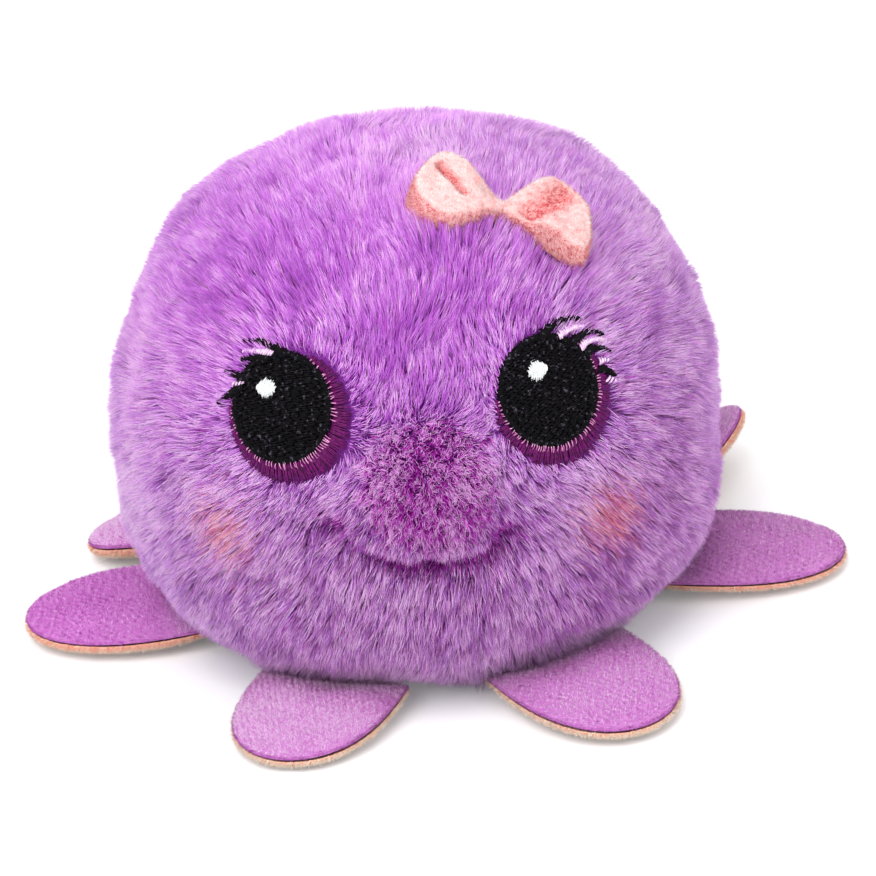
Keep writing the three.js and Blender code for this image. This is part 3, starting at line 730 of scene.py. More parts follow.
def ring_cells(rings, count):
    """The four corners of each cell between closed rings of points, ring by ring."""
    first, column = np.meshgrid(np.arange(rings - 1) * count, np.arange(count), indexing="ij")
    a, b = first + column, first + (column + 1) % count
    return np.stack([a, b, b + count, a + count], -1).reshape(-1, 4)


def ring_triangles(rings, count):
    cells = ring_cells(rings, count)
    return np.concatenate([cells[:, [0, 1, 2]], cells[:, [0, 2, 3]]])


def closed_fan(points, sign):
    """A grid of rings as a mesh surface with a middle point."""
    rings, count = points.shape[:2]
    column = np.arange(count)
    hub = np.stack([np.full_like(column, rings * count), column, (column + 1) % count], -1)
    flat = np.concatenate([points.reshape(-1, 3), points[:1].mean(1)])
    triangles = np.concatenate([ring_triangles(rings, count)[:, ::-1], hub])
    return flat, triangles if sign > 0 else triangles[:, ::-1]


def grid_normals(points, sign):
    """Normals of a grid of rings, facing the sign's side."""
    around = np.roll(points, -1, 1) - np.roll(points, 1, 1)
    return unit(np.cross(np.gradient(points, axis=0), around)) * sign


def tube_cells(rings, sides):
    """Triangles of a tube between rings of a few corners."""
    cells = []
    for ring in range(rings - 1):
        for corner in range(sides):
            a, b = ring * sides + corner, ring * sides + (corner + 1) % sides
            cells += [(a, b, b + sides), (a, b + sides, a + sides)]
    return cells


def linear(red, green, blue):
    """A colour written in sRGB, 0 to 255, as the linear values of the shaders."""
    shares = np.array([red, green, blue]) / 255
    return (*np.where(shares <= 0.04045, shares / 12.92, ((shares + 0.055) / 1.055) ** 2.4), 1.0)


def material(name, roughness=0.9, sheen=0.0, specular=0.3):
    made = bpy.data.materials.new(name)
    made.use_nodes = True
    shader = made.node_tree.nodes["Principled BSDF"]
    shader.inputs["Roughness"].default_value = roughness
    shader.inputs["Sheen Weight"].default_value = sheen
    shader.inputs["Specular IOR Level"].default_value = specular
    return made, made.node_tree, shader


def add_node(tree, kind, inputs=(), **settings):
    """A node with its settings, and its inputs by name or number: each a value or another's output."""
    node = tree.nodes.new(f"ShaderNode{kind}")
    for setting, value in settings.items():
        setattr(node, setting, value)
    for socket, value in dict(inputs).items():
        if isinstance(value, bpy.types.NodeSocket):
            tree.links.new(value, node.inputs[socket])
        else:
            node.inputs[socket].default_value = value
    return node


def ramp(tree, source, stops):
    """The colours of a ramp over a value."""
    node = add_node(tree, "ValToRGB", {"Fac": source})
    elements = node.color_ramp.elements
    for element, (place, *colour) in zip(elements, (stops[0], stops[-1])):
        element.position = place
        element.color = linear(*colour)
    for place, *colour in stops[1:-1]:
        elements.new(place).color = linear(*colour)
    return node.outputs["Color"]


def strand_material(name, tips, roots, low=0.0, high=0.75):
    """Strands take their tint from the map's u and run from root to tip colour along its v: the darker root
    colour is painted shade deep in the pile.
    """
    made, tree, shader = material(name, 0.75, 0.25, 0.15)
    place = add_node(tree, "UVMap", uv_map="OFBake")
    split = add_node(tree, "SeparateXYZ", {"Vector": place.outputs["UV"]})
    fade = add_node(tree, "MapRange", {"From Min": low, "From Max": high, "Value": split.outputs["Y"]})
    root, tip = (ramp(tree, split.outputs["X"], stops) for stops in (roots, tips))
    mix = add_node(tree, "Mix", {0: fade.outputs["Result"], 6: root, 7: tip}, data_type="RGBA")
    tree.links.new(mix.outputs[2], shader.inputs["Base Color"])
    return made


def noise_material(name, scale, stops, *finish, places=None):
    """A fabric or thread whose colour wanders between stops."""
    made, tree, shader = material(name, *finish)
    noise = add_node(tree, "TexNoise", {"Scale": scale})
    if places:
        tree.links.new(add_node(tree, "TexCoord").outputs[places], noise.inputs["Vector"])
    tree.links.new(ramp(tree, noise.outputs["Fac"], stops), shader.inputs["Base Color"])
    return made


def two_tone(dark, light):
    return [(0.3, *dark), (0.7, *light)]


def cloth_material(name, dark, light):
    """The ground under a pile, in two shades."""
    return noise_material(name, CLOTH_NOISE, two_tone(dark, light), 0.95)


def thread_material(name, stops, roughness=0.38, specular=0.6):
    """Satin thread: its colour shifts a little along the stitches."""
    return noise_material(name, THREAD_NOISE, stops, roughness, 0.0, specular, places="Object")


def strand_arrays(paths, widths, across, tint, facing, softness):
    """Three-sided tapering strands along paths, each from a root ring to a tip, with their map.
    Their shading normals lean towards the way the skin faces, which makes the fur look soft."""
    count, knots = paths.shape[:2]
    rings = knots - 1
    heading = unit(np.diff(paths, axis=1))
    side = unit(across[:, None] - heading * (across[:, None] * heading).sum(-1, keepdims=True))
    over = np.cross(heading, side)
    taper = 1 - 0.55 * (np.arange(rings) / rings) ** 1.5
    half = widths[:, None, None] / 2 * taper[None, :, None]
    centre = paths[:, :-1]
    corners = np.stack([
        centre - side * half - over * half * 0.4,
        centre + side * half - over * half * 0.4,
        centre + over * half * 0.8,
    ], 2).reshape(count, rings * 3, 3)
    points = np.concatenate([corners, paths[:, -1:]], 1)
    lean = points - np.concatenate([np.repeat(centre, 3, 1), paths[:, -1:]], 1)
    normals = unit(unit(lean) * (1 - softness) + facing[:, None] * softness)
    last = 3 * (rings - 1)
    tip = [(last + corner, last + (corner + 1) % 3, last + 3) for corner in range(3)]
    cells = np.array([(0, 2, 1), *tube_cells(rings, 3), *tip])
    triangles = (np.arange(count)[:, None, None] * (3 * rings + 1) + cells).reshape(-1, 3)
    spread = 0.0015
    u = np.concatenate([np.tile([-spread, spread, 0.0], rings), [0.0]])
    v = np.concatenate([np.repeat(np.arange(rings) / rings, 3), [1.0]]) * 0.98 + 0.01
    corner_u = np.clip(tint[:, None, None] + u[cells], 0.001, 0.999)
    uv = np.stack([corner_u, np.broadcast_to(v[cells], corner_u.shape)], -1).reshape(-1, 2)
    return points.reshape(-1, 3), triangles, uv, normals.reshape(-1, 3)


def sample_grid(corners, weights, count, draw):
    """Random places on a grid of points: index of the cell and shares across it, by area and weight."""
    edge_a = corners[1:, :-1] - corners[:-1, :-1]
    edge_b = corners[:-1, 1:] - corners[:-1, :-1]
    area = np.linalg.norm(np.cross(edge_a, edge_b), axis=-1) * weights[:-1, :-1]
    cell = draw.choice(area.size, count, p=(area / area.sum()).ravel())
    row, column = np.unravel_index(cell, area.shape)
    return row + draw.random(count), column + draw.random(count)


def comb(points, normals):
    """The direction that the fur is combed in, along the skin: away from the snout and from the
    eyes, down over the cheeks, the chin and the back, outwards over the legs, and a little aslant
    on the chin and the brow."""
    height = points[:, 2]
    behind = smooth(-0.01, 0.03, points[:, 1])[:, None]
    flow = unit(tangential(points - SNOUT.origin, normals)) * (1 - behind)
    flow += 1.3 * behind * tangential(np.broadcast_to((0.0, 0.0, -1.0), points.shape), normals)
    turned = np.abs(azimuth_of(points))
    down = 1.2 * (1 - smooth(0.034, 0.054, height)) * (1 - 0.6 * smooth(0.8, 1.4, turned))
    front = bell(points[:, 0], 0.018) * (points[:, 1] < 0)
    aslant = -0.55 * (1 - smooth(0.028, 0.036, height)) + 0.5 * bell(height - 0.056, 0.008)
    flow += tangential(np.stack([aslant * front, 0 * down, -down], -1), normals)
    out = (0.9 + 0.8 * over_legs(points)) * smooth(0.012, 0.005, height)
    flow += out[:, None] * unit(points * (1, 1, 0))
    for patch in EYES.values():
        away = tangential(points - patch.origin, normals)
        reach = np.linalg.norm(away, axis=-1, keepdims=True)
        flow += unit(away) * 2.2 * np.exp(-((reach / 0.0135) ** 4))
    noise = 0.2 * vector_waves(flow_waves, points) + 0.12 * vector_waves(ripple_waves, points)
    return unit(flow + tangential(noise, normals))


def fur_places(draw):
    """Azimuths and levels of the strands' roots, denser on the face and thickest on the snout."""
    azimuth = np.linspace(-np.pi, np.pi, SKIN_COLUMNS + 1)
    level = np.linspace(-0.93, 1, SKIN_ROWS + 1)
    levels, azimuths = np.meshgrid(level, azimuth, indexing="ij")
    surface = body_point(azimuths, levels)
    weights = 1 + 0.6 * smooth(0.02, -0.02, surface[..., 1]) + 1.4 * smooth(0.0, 0.3, snout_share(surface))
    weights *= smooth(-0.0002, 0.0003, eye_distance(surface)) * smooth(-0.0016, -0.001, bow_distance(surface))
    row, column = sample_grid(skin_point(azimuths, levels), weights, FUR_COUNT, draw)
    a = np.interp(column, np.arange(len(azimuth)), azimuth)
    return a, np.interp(row, np.arange(len(level)), level)


def fur_zones(points):
    """What lies where on the body."""
    above, within = smile_rise(points)
    return {
        "front": np.clip(np.cos(azimuth_of(points)), 0, 1),
        "eyes": eye_distance(points),
        "snout": snout_share(points),
        "hollow": hollow_share(points),
        "fringe": bell(above - 0.0018, 0.0016) * within,
        "rough": rough_share(points),
        "leg": over_legs(points),
    }


def fur_paths(draw, surface, normals, roots, flow, level):
    """Courses of the strands: they rise from the skin and bend over to lie along it."""
    count = len(surface)
    zone = fur_zones(surface)
    bow = bow_distance(surface)
    skirt = smooth(-0.5, -0.72, level) * (1 + 0.4 * fine_tone_waves(surface)) * (1 - 0.3 * zone["leg"])
    upright = upright_share(surface)
    spread = draw.normal(0, 1, (count, 3))
    around = unit(tangential(draw.normal(0, 1, (count, 3)), normals))
    curls = unit(tangential(vector_waves(curl_waves, surface), normals))
    turned = 0.14 + 0.5 * upright + 0.2 * zone["rough"]
    way = flow * (1 - 0.7 * upright)[:, None] + around * turned[:, None]
    way = way + curls * (0.7 * upright)[:, None] + 0.2 * tangential(spread, normals)
    covered = np.maximum(zone["hollow"], hollow_share(surface + flow * FUR_REACH * 0.8))
    reach = FUR_REACH * (1 + draw.normal(0, 0.16, count)) * (1 - 0.62 * upright)
    reach *= 0.5 + 0.5 * smooth(0.0, 0.008, zone["eyes"])
    reach *= (1 - 0.55 * covered) * (1 + 0.45 * skirt + 0.3 * zone["leg"]) * (1 - 0.22 * zone["rough"])
    proud = FUR_PROUD * (0.1 + 0.9 * smooth(0.0, 0.009, zone["eyes"])) * (1 - 0.35 * zone["front"])
    proud += -np.abs(draw.normal(0, 0.00045, count)) + 0.0005 * upright * draw.random(count)
    proud += 0.0015 * bell(bow, 0.0028) * (bow > -0.0006)
    proud += 0.0011 * skirt - 0.0004 * zone["leg"] - 0.0012 * zone["hollow"] + 0.0003 * zone["fringe"]
    stray = np.where(draw.random(count) < STRAY_SHARE, STRAY_HEIGHT * draw.random(count), 0)
    rise = skin_depth(surface) + proud + stray * (zone["eyes"] > 0.003)
    up = np.array([0, 0.6, 1.0])[None, :, None]
    out = np.array([0, 0.32, 1.0])[None, :, None]
    course = normals[:, None] * rise[:, None, None] * up + way[:, None] * reach[:, None, None] * out
    course[:, 1] += spread * 0.00012
    return roots[:, None] + course


def on_stretch(name, tone):
    """Places on one stretch of the fur's ramps."""
    start, length = FUR_STRETCHES[name]
    return start + length * tone


def fur_tints(draw, seen, lock_shading):
    """Places along the colour ramps, by where the strands' upper parts are seen: lilac, orchid,
    mauve, snout and blush strands. Painted light and shade: strands near a lock's middle are lighter
    and those in the partings darker, the partings, dimples and the groove under the snout darker,
    and the fur over the legs and at the back lighter."""
    count = len(seen)
    zone = fur_zones(seen)
    azimuth = azimuth_of(seen)
    fine, finest = fine_tone_waves(seen), finest_tone_waves(seen)
    tone = 0.5 + 0.09 * tone_waves(seen) + 0.1 * fine + 0.12 * finest
    tone += draw.normal(0, 0.2, count) * (1 + 1.2 * zone["rough"]) + 0.05 * zone["rough"]
    # Painted shade: the fur is darker in its partings, by their depth.
    tone += 0.22 * (1 - smooth(0.002, 0.011, zone["eyes"])) - FURROW_PAINTED_SHADE * furrow_depth(seen)
    # Spots of the fur's own tone, and of painted light and shade.
    for spot_azimuth, spot_height, size, change in TONE_AND_LIGHT_SPOTS:
        tone += change * spot_bell(seen, outline_at(spot_azimuth, spot_height), size)
    # Painted light and shade: lighter near a lock's middle and darker in its partings, darker under the
    # snout's fringe and in the dimples, and lighter over the legs against the shade where the fur meets them.
    tone += 0.14 * zone["fringe"] - 0.6 * zone["hollow"] + 0.2 * lock_shading + 0.25 * zone["leg"]
    # Painted light: the back, which the lamps leave dim, is painted lighter.
    tone += 0.16 * smooth(1.6, 2.5, np.abs(azimuth))
    tone = np.clip(tone, 0.01, 0.99)
    low = 1 - smooth(0.026, 0.056, seen[:, 2])
    rightward = smooth(0.3, 1.1, azimuth) * (azimuth < 2.4)
    mauve = 0.12 + 0.6 * low * zone["front"] + 0.35 * rightward
    orchid = 0.2 + 0.65 * (1 - low) * (1 - rightward)
    tint = np.where(draw.random(count) < orchid, on_stretch("orchid", tone), on_stretch("lilac", tone))
    tint = np.where(draw.random(count) < mauve, on_stretch("mauve", tone), tint)
    # The snout's strands, and as painted shade those under its fringe and in the dimples, take the snout's
    # speckled colours.
    in_snout = np.maximum(smooth(0.0, 0.34, zone["snout"] + 0.05 * fine), 0.9 * zone["hollow"])
    speckled = np.clip(0.56 + 1.9 * (tone - 0.5) + 0.2 * finest, 0, 1)
    tint = np.where(draw.random(count) < 0.9 * in_snout, on_stretch("snout", speckled), tint)
    blush = sum(spot_bell(seen, spot, BLUSH_SIZE) for spot in BLUSHES)
    return np.where(draw.random(count) < 0.8 * blush, on_stretch("blush", tone), tint)


def gather_tips(paths, pull, draw, seed_share):
    """Draws neighbouring tips together into locks, and tells how far each strand was from its lock."""
    middles = paths[:, paths.shape[1] // 2]
    seeds = draw.choice(len(paths), int(len(paths) * seed_share), replace=False)
    tree = KDTree(len(seeds))
    for at, seed in enumerate(seeds):
        tree.insert(middles[seed], at)
    tree.balance()
    found = [tree.find(point) for point in middles]
    nearest = seeds[[place[1] for place in found]]
    share = np.linspace(0, 1, paths.shape[1]) ** 1.5
    pull = pull * draw.uniform(0.2, 1, len(paths))
    gathered = paths + (paths[nearest] - paths) * share[None, :, None] * pull[:, None, None]
    return gathered, np.array([place[2] for place in found])


def make_fur():
    """Body fur: paths, widths, side directions, tints, the way the skin faces, and azimuths."""
    draw = np.random.default_rng(FUR_SEED)
    azimuth, level = fur_places(draw)
    surface = body_point(azimuth, level)
    normals = body_normal(surface)
    rough = rough_share(surface)
    flow = comb(surface, normals)
    paths = fur_paths(draw, surface, normals, skin_point(azimuth, level), flow, level)
    loose = 1 - 0.6 * upright_share(surface)
    (small_pull, small_share), (large_pull, large_share) = SMALL_LOCKS, LARGE_LOCKS
    paths, _ = gather_tips(paths, small_pull * loose, draw, small_share)
    paths, aside = gather_tips(paths, large_pull * loose * (0.5 + 0.5 * rough), draw, large_share)
    paths[..., 2] = np.maximum(paths[..., 2], FUR_FLOOR)
    # Painted light on the locks: lighter near a large lock's middle, darker in the partings.
    lock_shading = (0.6 - np.clip(aside / LOCK_SIZE, 0, 1.6)) * loose * (0.3 + 0.7 * rough)
    tints = fur_tints(draw, surface + 0.6 * tangential(paths[:, -1] - paths[:, 0], normals), lock_shading)
    widths = FUR_WIDTH * draw.uniform(0.75, 1.25, len(paths))
    return paths, widths, np.cross(normals, flow), tints, normals, azimuth


def make_skin():
    """The fur's backing, a closed form under it."""
    azimuth = np.linspace(-np.pi, np.pi, SKIN_COLUMNS + 1)[:-1]
    levels, azimuths = np.meshgrid(np.linspace(-0.999, 0.999, SKIN_ROWS), azimuth, indexing="ij")
    points = skin_point(azimuths, levels).reshape(-1, 3)
    poles = np.stack([points[:SKIN_COLUMNS].mean(0), points[-SKIN_COLUMNS:].mean(0)])
    column = np.arange(SKIN_COLUMNS)
    ahead = (column + 1) % SKIN_COLUMNS
    first = len(points)
    last_row = first - SKIN_COLUMNS
    bottom = np.stack([ahead, column, np.full_like(column, first)], -1)
    top = np.stack([last_row + column, last_row + ahead, np.full_like(column, first + 1)], -1)
    triangles = np.concatenate([ring_triangles(SKIN_ROWS, SKIN_COLUMNS), bottom, top])
    # The backing is coloured as dark as the fur's roots: painted shade deep in the fur.
    look = noise_material("fur_backing", BACKING_NOISE, two_tone((100, 26, 122), (140, 58, 164)))
    nodes = ("face_panel", "left_panel", "right_panel", "base_panel", "pellet_pouch", "body_filling")
    arrays = (np.concatenate([points, poles]), triangles)
    add_piece("body_skin", arrays, look, "long_fur", nodes=nodes, fill=0.8)


def make_body():
    make_skin()
    look = strand_material("long_fur_strands", FUR_TIPS, FUR_SHADED_ROOTS, 0.2, 0.85)
    *fur, azimuth = make_fur()
    order = np.argsort(azimuth)
    for at, start in enumerate(range(0, len(order), STRANDS_PER_PIECE)):
        chosen = order[start:start + STRANDS_PER_PIECE]
        arrays = strand_arrays(*(values[chosen] for values in fur), FUR_SOFTNESS)
        add_piece(f"body_fur_{at + 1:02d}", arrays, look, "long_fur")


def leg_half_width(leg, share):
    tongue = np.sqrt(np.maximum(1 - share**LEG_TONGUE, 0))
    return LEG_HALF_WIDTH * leg.width * tongue * (1 - leg.gather * (1 - share) ** 3)


def leg_outline(leg, steps=72, root_steps=15):
    """A leg's outline on its own plane, along the leg and sideways, anticlockwise from its root."""
    share = np.sin(np.linspace(0, np.pi / 2, steps)) ** (2 / LEG_TONGUE)
    side = np.stack([share * LEG_LENGTH * leg.length, -leg_half_width(leg, share)], -1)
    root = np.linspace(1, -1, root_steps)[1:-1] * leg_half_width(leg, 0.0)
    return np.concatenate([side, side[-2::-1] * (1, -1), np.stack([0 * root, root], -1)])


def leg_point(leg, distance, sideways, height):
    """Carries a point of the leg's own plane, with its height over it, into the body's frame."""
    share = distance / (LEG_LENGTH * leg.length)
    start = math.radians(leg.azimuth)
    turned = math.radians(leg.turn) * share
    bend = np.sinc(turned / 2 / np.pi)[..., None] * outward(start + turned / 2)
    heading = outward(start + turned)
    across = np.stack([-heading[..., 1], heading[..., 0], 0 * turned], -1)
    thick = height * (LEG_PINCH + (1 - LEG_PINCH) * smooth(0, LEG_PINCH_LENGTH, distance))
    tilt = math.radians(leg.roll) * share
    spot = LEG_ROOT_RADIUS * outward(start) + distance[..., None] * bend
    spot = spot + across * (sideways * np.cos(tilt) - thick * np.sin(tilt))[..., None]
    drop = (LEG_TIP_HEIGHT + leg.lift * LEG_LENGTH - LEG_ROOT_HEIGHT) * share
    spot[..., 2] = LEG_ROOT_HEIGHT + drop + sideways * np.sin(tilt) + thick * np.cos(tilt)
    return spot


def pad_form(leg, sign, rings=30):
    """One cloth of a leg in the leg's own plane: its rings' shares, and a grid of points, ring by
    ring from its middle to the seam, along and across the leg and over its plane."""
    outline = leg_outline(leg)
    middle = np.array([LEG_LENGTH * leg.length * LEG_MIDDLE, 0.0])
    ring = 1 - (1 - np.linspace(0.02, 1, rings)) ** 1.8
    plane = middle + ring[:, None, None] * (outline - middle)
    if sign < 0:
        swell = np.sin(np.pi * np.clip((ring - 0.82) / 0.18, 0, 1))
        plane = plane + SOLE_OUT * swell[:, None, None] * unit(outline - middle)
    edge = LEG_EDGE if sign > 0 else SOLE_EDGE * SOLE_SHARES.get(leg.name, 1)
    edge = edge * np.maximum(1 - ring**14, 0) ** (1 / 2.4)
    puff = (LEG_PUFF if sign > 0 else SOLE_PUFF) * (1 - ring**2)
    height = sign * (LEG_SEAM + edge + puff)[:, None] + 0 * plane[..., 0]
    return ring, np.concatenate([plane, height[..., None]], -1)


def pad_mesh(leg):
    """The coarse closed pad of a leg: its points, its cells, and the points at its pinned root."""
    top, sole = (pad_form(leg, sign)[1][PAD_RINGS, ::PAD_COLUMNS] for sign in (1, -1))
    rings, count = top.shape[:2]
    top[-1, :, 2] = 0
    sides = [top.reshape(-1, 3), sole[:-1].reshape(-1, 3)]
    points = np.concatenate([*sides, top[:1].mean(1), sole[:1].mean(1)])
    points[:, 2] += PAD_UNEVEN * crease_waves(points + leg.azimuth)
    upper = ring_cells(rings, count)[:, [0, 3, 2, 1]]
    first, hub = rings * count, (2 * rings - 1) * count
    place = np.concatenate([np.arange(first, hub), np.arange(first - count, first)])
    lower = place[upper[:, ::-1]]
    around = [(a, (a + 1) % count) for a in range(count)]
    caps = [(hub, a, b) for a, b in around] + [(hub + 1, first + b, first + a) for a, b in around]
    return points, upper.tolist() + lower.tolist() + caps, points[:, 0] < PAD_ROOT_LENGTH


def finer(moved):
    """Moves of the coarse grid's points, spread over the fine grid."""
    rings = np.arange(PAD_RINGS[-1] + 1)
    column = np.arange(moved.shape[1] * PAD_COLUMNS) / PAD_COLUMNS
    closed = np.concatenate([moved, moved[:, :1]], 1)
    at = column.astype(int)
    share = smooth(0, 1, column - at)[:, None]
    wide = closed[:, at] * (1 - share) + closed[:, at + 1] * share
    tall = [np.interp(rings, PAD_RINGS, line) for line in wide.reshape(len(PAD_RINGS), -1).T]
    return np.stack(tall, -1).reshape(len(rings), -1, 3)


def run_cloth(points, cells, pinned):
    """Blows up closed pads of cloth and gives their points back."""
    mesh = bpy.data.meshes.new("pads")
    mesh.from_pydata((points * PAD_SCALE).tolist(), [], cells)
    pads = new_object("pads", mesh, None)
    pads.vertex_groups.new(name="pinned").add(np.flatnonzero(pinned).tolist(), 1.0, "REPLACE")
    cloth = pads.modifiers.new("cloth", "CLOTH")
    cloth.point_cache.frame_start, cloth.point_cache.frame_end = 1, PAD_FRAMES
    for setting, value in PAD_CLOTH.items():
        setattr(cloth.settings, setting, value)
    cloth.settings.effector_weights.gravity = 0
    cloth.collision_settings.use_collision = False
    for number in range(1, PAD_FRAMES + 1):
        bpy.context.scene.frame_set(number)
    shaped = pads.evaluated_get(bpy.context.evaluated_depsgraph_get()).data
    found = np.empty(len(points) * 3, np.float32)
    shaped.vertices.foreach_get("co", found)
    bpy.data.objects.remove(pads)
    bpy.data.meshes.remove(mesh)
    bpy.context.scene.frame_set(1)
    return found.reshape(-1, 3) / PAD_SCALE


def inflate_pads():
    """How far a cloth simulation moves each point of the legs' grids, by leg and side."""
    points, cells, pinned = [], [], []
    for at, leg in enumerate(LEGS):
        form, faces, fixed = pad_mesh(leg)
        first = sum(len(part) for part in points)
        points.append(form + (0, PAD_SPACING * at, 0))
        cells += [[first + corner for corner in cell] for cell in faces]
        pinned.append(fixed)
    start = np.concatenate(points)
    moves = run_cloth(start, cells, np.concatenate(pinned)) - start
    size = np.linalg.norm(moves, axis=-1, keepdims=True)
    moves *= np.minimum(1, PAD_CAP / np.maximum(size, 1e-9))
    found = {}
    for leg, part in zip(LEGS, np.split(moves, np.cumsum([len(part) for part in points])[:-1])):
        grid = part[:-2].reshape(2 * len(PAD_RINGS) - 1, -1, 3)
        top, sole = np.split(grid, [len(PAD_RINGS)])
        found[leg.name, 1] = finer(top)
        found[leg.name, -1] = finer(np.concatenate([sole, top[-1:]]))
    return found


def leg_surface(leg, sign, moves):
    """One cloth of a leg in the body's frame, its rings' shares, and its form in the leg's plane."""
    ring, form = pad_form(leg, sign)
    form = form + moves.get((leg.name, sign), 0) * np.array(PAD_SHARES[sign])
    form[..., 2] = sign * np.maximum(sign * form[..., 2], LEG_SEAM)
    points = leg_point(leg, form[..., 0], form[..., 1], form[..., 2])
    points[..., 2] = np.maximum(points[..., 2], LEG_FLOOR)
    return points, ring, form


def pile_on(grid, normals, shares, count, length, width, lean, draw):
    """Short pile over a grid of rings: paths, widths, side directions, normals and shares of each strand."""
    closed = np.concatenate([grid, grid[:, :1]], 1)
    facing = np.concatenate([normals, normals[:, :1]], 1)
    row, column = sample_grid(closed, np.ones(closed.shape[:2]), count, draw)
    r, c = row.astype(int), column.astype(int)
    dr, dc = (row - r)[:, None], (column - c)[:, None]

    def blend(values):
        near = values[r, c] * (1 - dr) * (1 - dc) + values[r + 1, c] * dr * (1 - dc)
        return near + values[r, c + 1] * (1 - dr) * dc + values[r + 1, c + 1] * dr * dc

    roots, normal = blend(closed), unit(blend(facing))
    wide = [np.broadcast_to(value, grid.shape[:2]) for value in shares]
    values = [blend(np.concatenate([value, value[:, :1]], 1)[..., None])[:, 0] for value in wide]
    combed = tangential(np.broadcast_to(lean, roots.shape), normal)
    stray = draw.normal(0, 0.3, (count, 3))
    reach = (length * draw.uniform(0.6, 1.15, count))[:, None]
    paths = np.stack([roots - normal * PILE_SINK, roots + unit(normal + combed + stray) * reach], 1)
    paths[..., 2] = np.maximum(paths[..., 2], PILE_FLOOR)
    widths = width * draw.uniform(0.8, 1.2, count)
    return paths, widths, unit(np.cross(normal, combed + stray)), normal, values


def knit(along, across):
    """The knit's staggered stitches, 1 in the middle of each and -1 between them."""
    return np.cos(2 * np.pi * along / KNIT_ALONG) * np.cos(2 * np.pi * across / KNIT_ACROSS)


def leg_tints(leg, sign, paths, edge, along, across, draw):
    """Places along the pile's colour ramps, with the knit's grain. On the top, painted shade darkens
    the pile near the body and turns the front legs mauve there, painted light lightens it right at
    the root against the shade under the fur, and the seam is dark, partly its thread and partly
    painted shade where top meets sole. The sole is coral at its seam and cream away from it."""
    shaded_root_tone, lit_tip_tone, mauve, grain_share = LEG_TONES_AND_LIGHT.get(leg.name, OTHER_LEG_TONES_AND_LIGHT)
    grain = 0.12 * grain_waves(paths[:, 0]) + draw.normal(0, 0.17, len(paths))
    if sign < 0:
        pale = 0.2 if leg.name.startswith("front") else 0
        return np.clip(0.66 + pale - (0.5 - pale) * smooth(0.96, 1, edge) + grain, 0.01, 0.99)
    place = along / (LEG_LENGTH * leg.length)
    share = smooth(0.12, 0.6, place)
    tone = shaded_root_tone + (lit_tip_tone - shaded_root_tone) * share + 0.04 * tone_waves(paths[:, 0]) + grain
    drift = 0.0003 * fine_tone_waves(paths[:, 0])
    tone += grain_share * knit(along + drift, across + drift)
    # Painted shade: the front legs turn mauve near the body.
    mauve = mauve + (0.85 - mauve) * (1 - share) * leg.name.startswith("front")
    # Painted light: the pile right at the root is lightened against the shade under the fur.
    tone += 0.5 * smooth(0.3, 0.1, place)
    # A dark seam, partly its thread and partly painted shade where top meets sole.
    tone = np.clip(np.where(edge > 0.985, 0.15 + 0.4 * grain, tone), 0.01, 0.98)
    return np.where(draw.random(len(tone)) < mauve, 0.52 + 0.47 * tone, 0.48 * tone)


def make_leg_side(leg, side, sign, slot, looks, moves, draw):
    """One cloth of a leg and its pile."""
    body = f"{leg.name}_leg"
    name = f"{body}_{side}"
    cloth_look, pile_look = looks[side]
    grid, ring, plane = leg_surface(leg, sign, moves)
    nodes = [name, f"{body}_filling"] if sign > 0 else [name]
    add_piece(f"{name}_cloth", closed_fan(grid, sign), cloth_look, slot, body=body, nodes=nodes, fill=0.5)
    lean = outward(math.radians(leg.azimuth + leg.turn / 2)) * (0.25 if sign > 0 else 0.4)
    length = LEG_PILE_LENGTH if sign > 0 else SOLE_PILE_LENGTH
    shares = (ring[:, None], plane[..., 0], plane[..., 1])
    paths, widths, across, normal, (edge, out, aside) = pile_on(
        grid, grid_normals(grid, sign), shares, LEG_PILE_COUNT, length, LEG_PILE_WIDTH, lean, draw
    )
    if sign > 0:
        paths[:, 1] += (paths[:, 1] - paths[:, 0]) * 0.3 * knit(out, aside)[:, None]
    tints = leg_tints(leg, sign, paths, edge, out, aside, draw)
    facing = normal if sign > 0 else unit(normal + (0, 0, 0.9))
    arrays = strand_arrays(paths, widths, across, tints, facing, LEG_SOFTNESS)
    add_piece(f"{name}_nap", arrays, pile_look, slot, body=body)


def make_legs():
    looks = {
        "top": (
            cloth_material("top_cloth", (172, 92, 170), (212, 142, 210)),
            strand_material("top_nap", TOP_TIPS, TOP_SHADED_ROOTS),
        ),
        "sole": (
            cloth_material("sole_cloth", (248, 170, 146), (255, 214, 190)),
            strand_material("sole_nap", SOLE_TIPS, SOLE_SHADED_ROOTS),
        ),
    }
    draw = np.random.default_rng(LEG_SEED)
    moves = inflate_pads()
    for leg in LEGS:
        make_leg_side(leg, "top", 1, "short_pile", looks, moves, draw)
        make_leg_side(leg, "sole", -1, "sole_pile", looks, moves, draw)


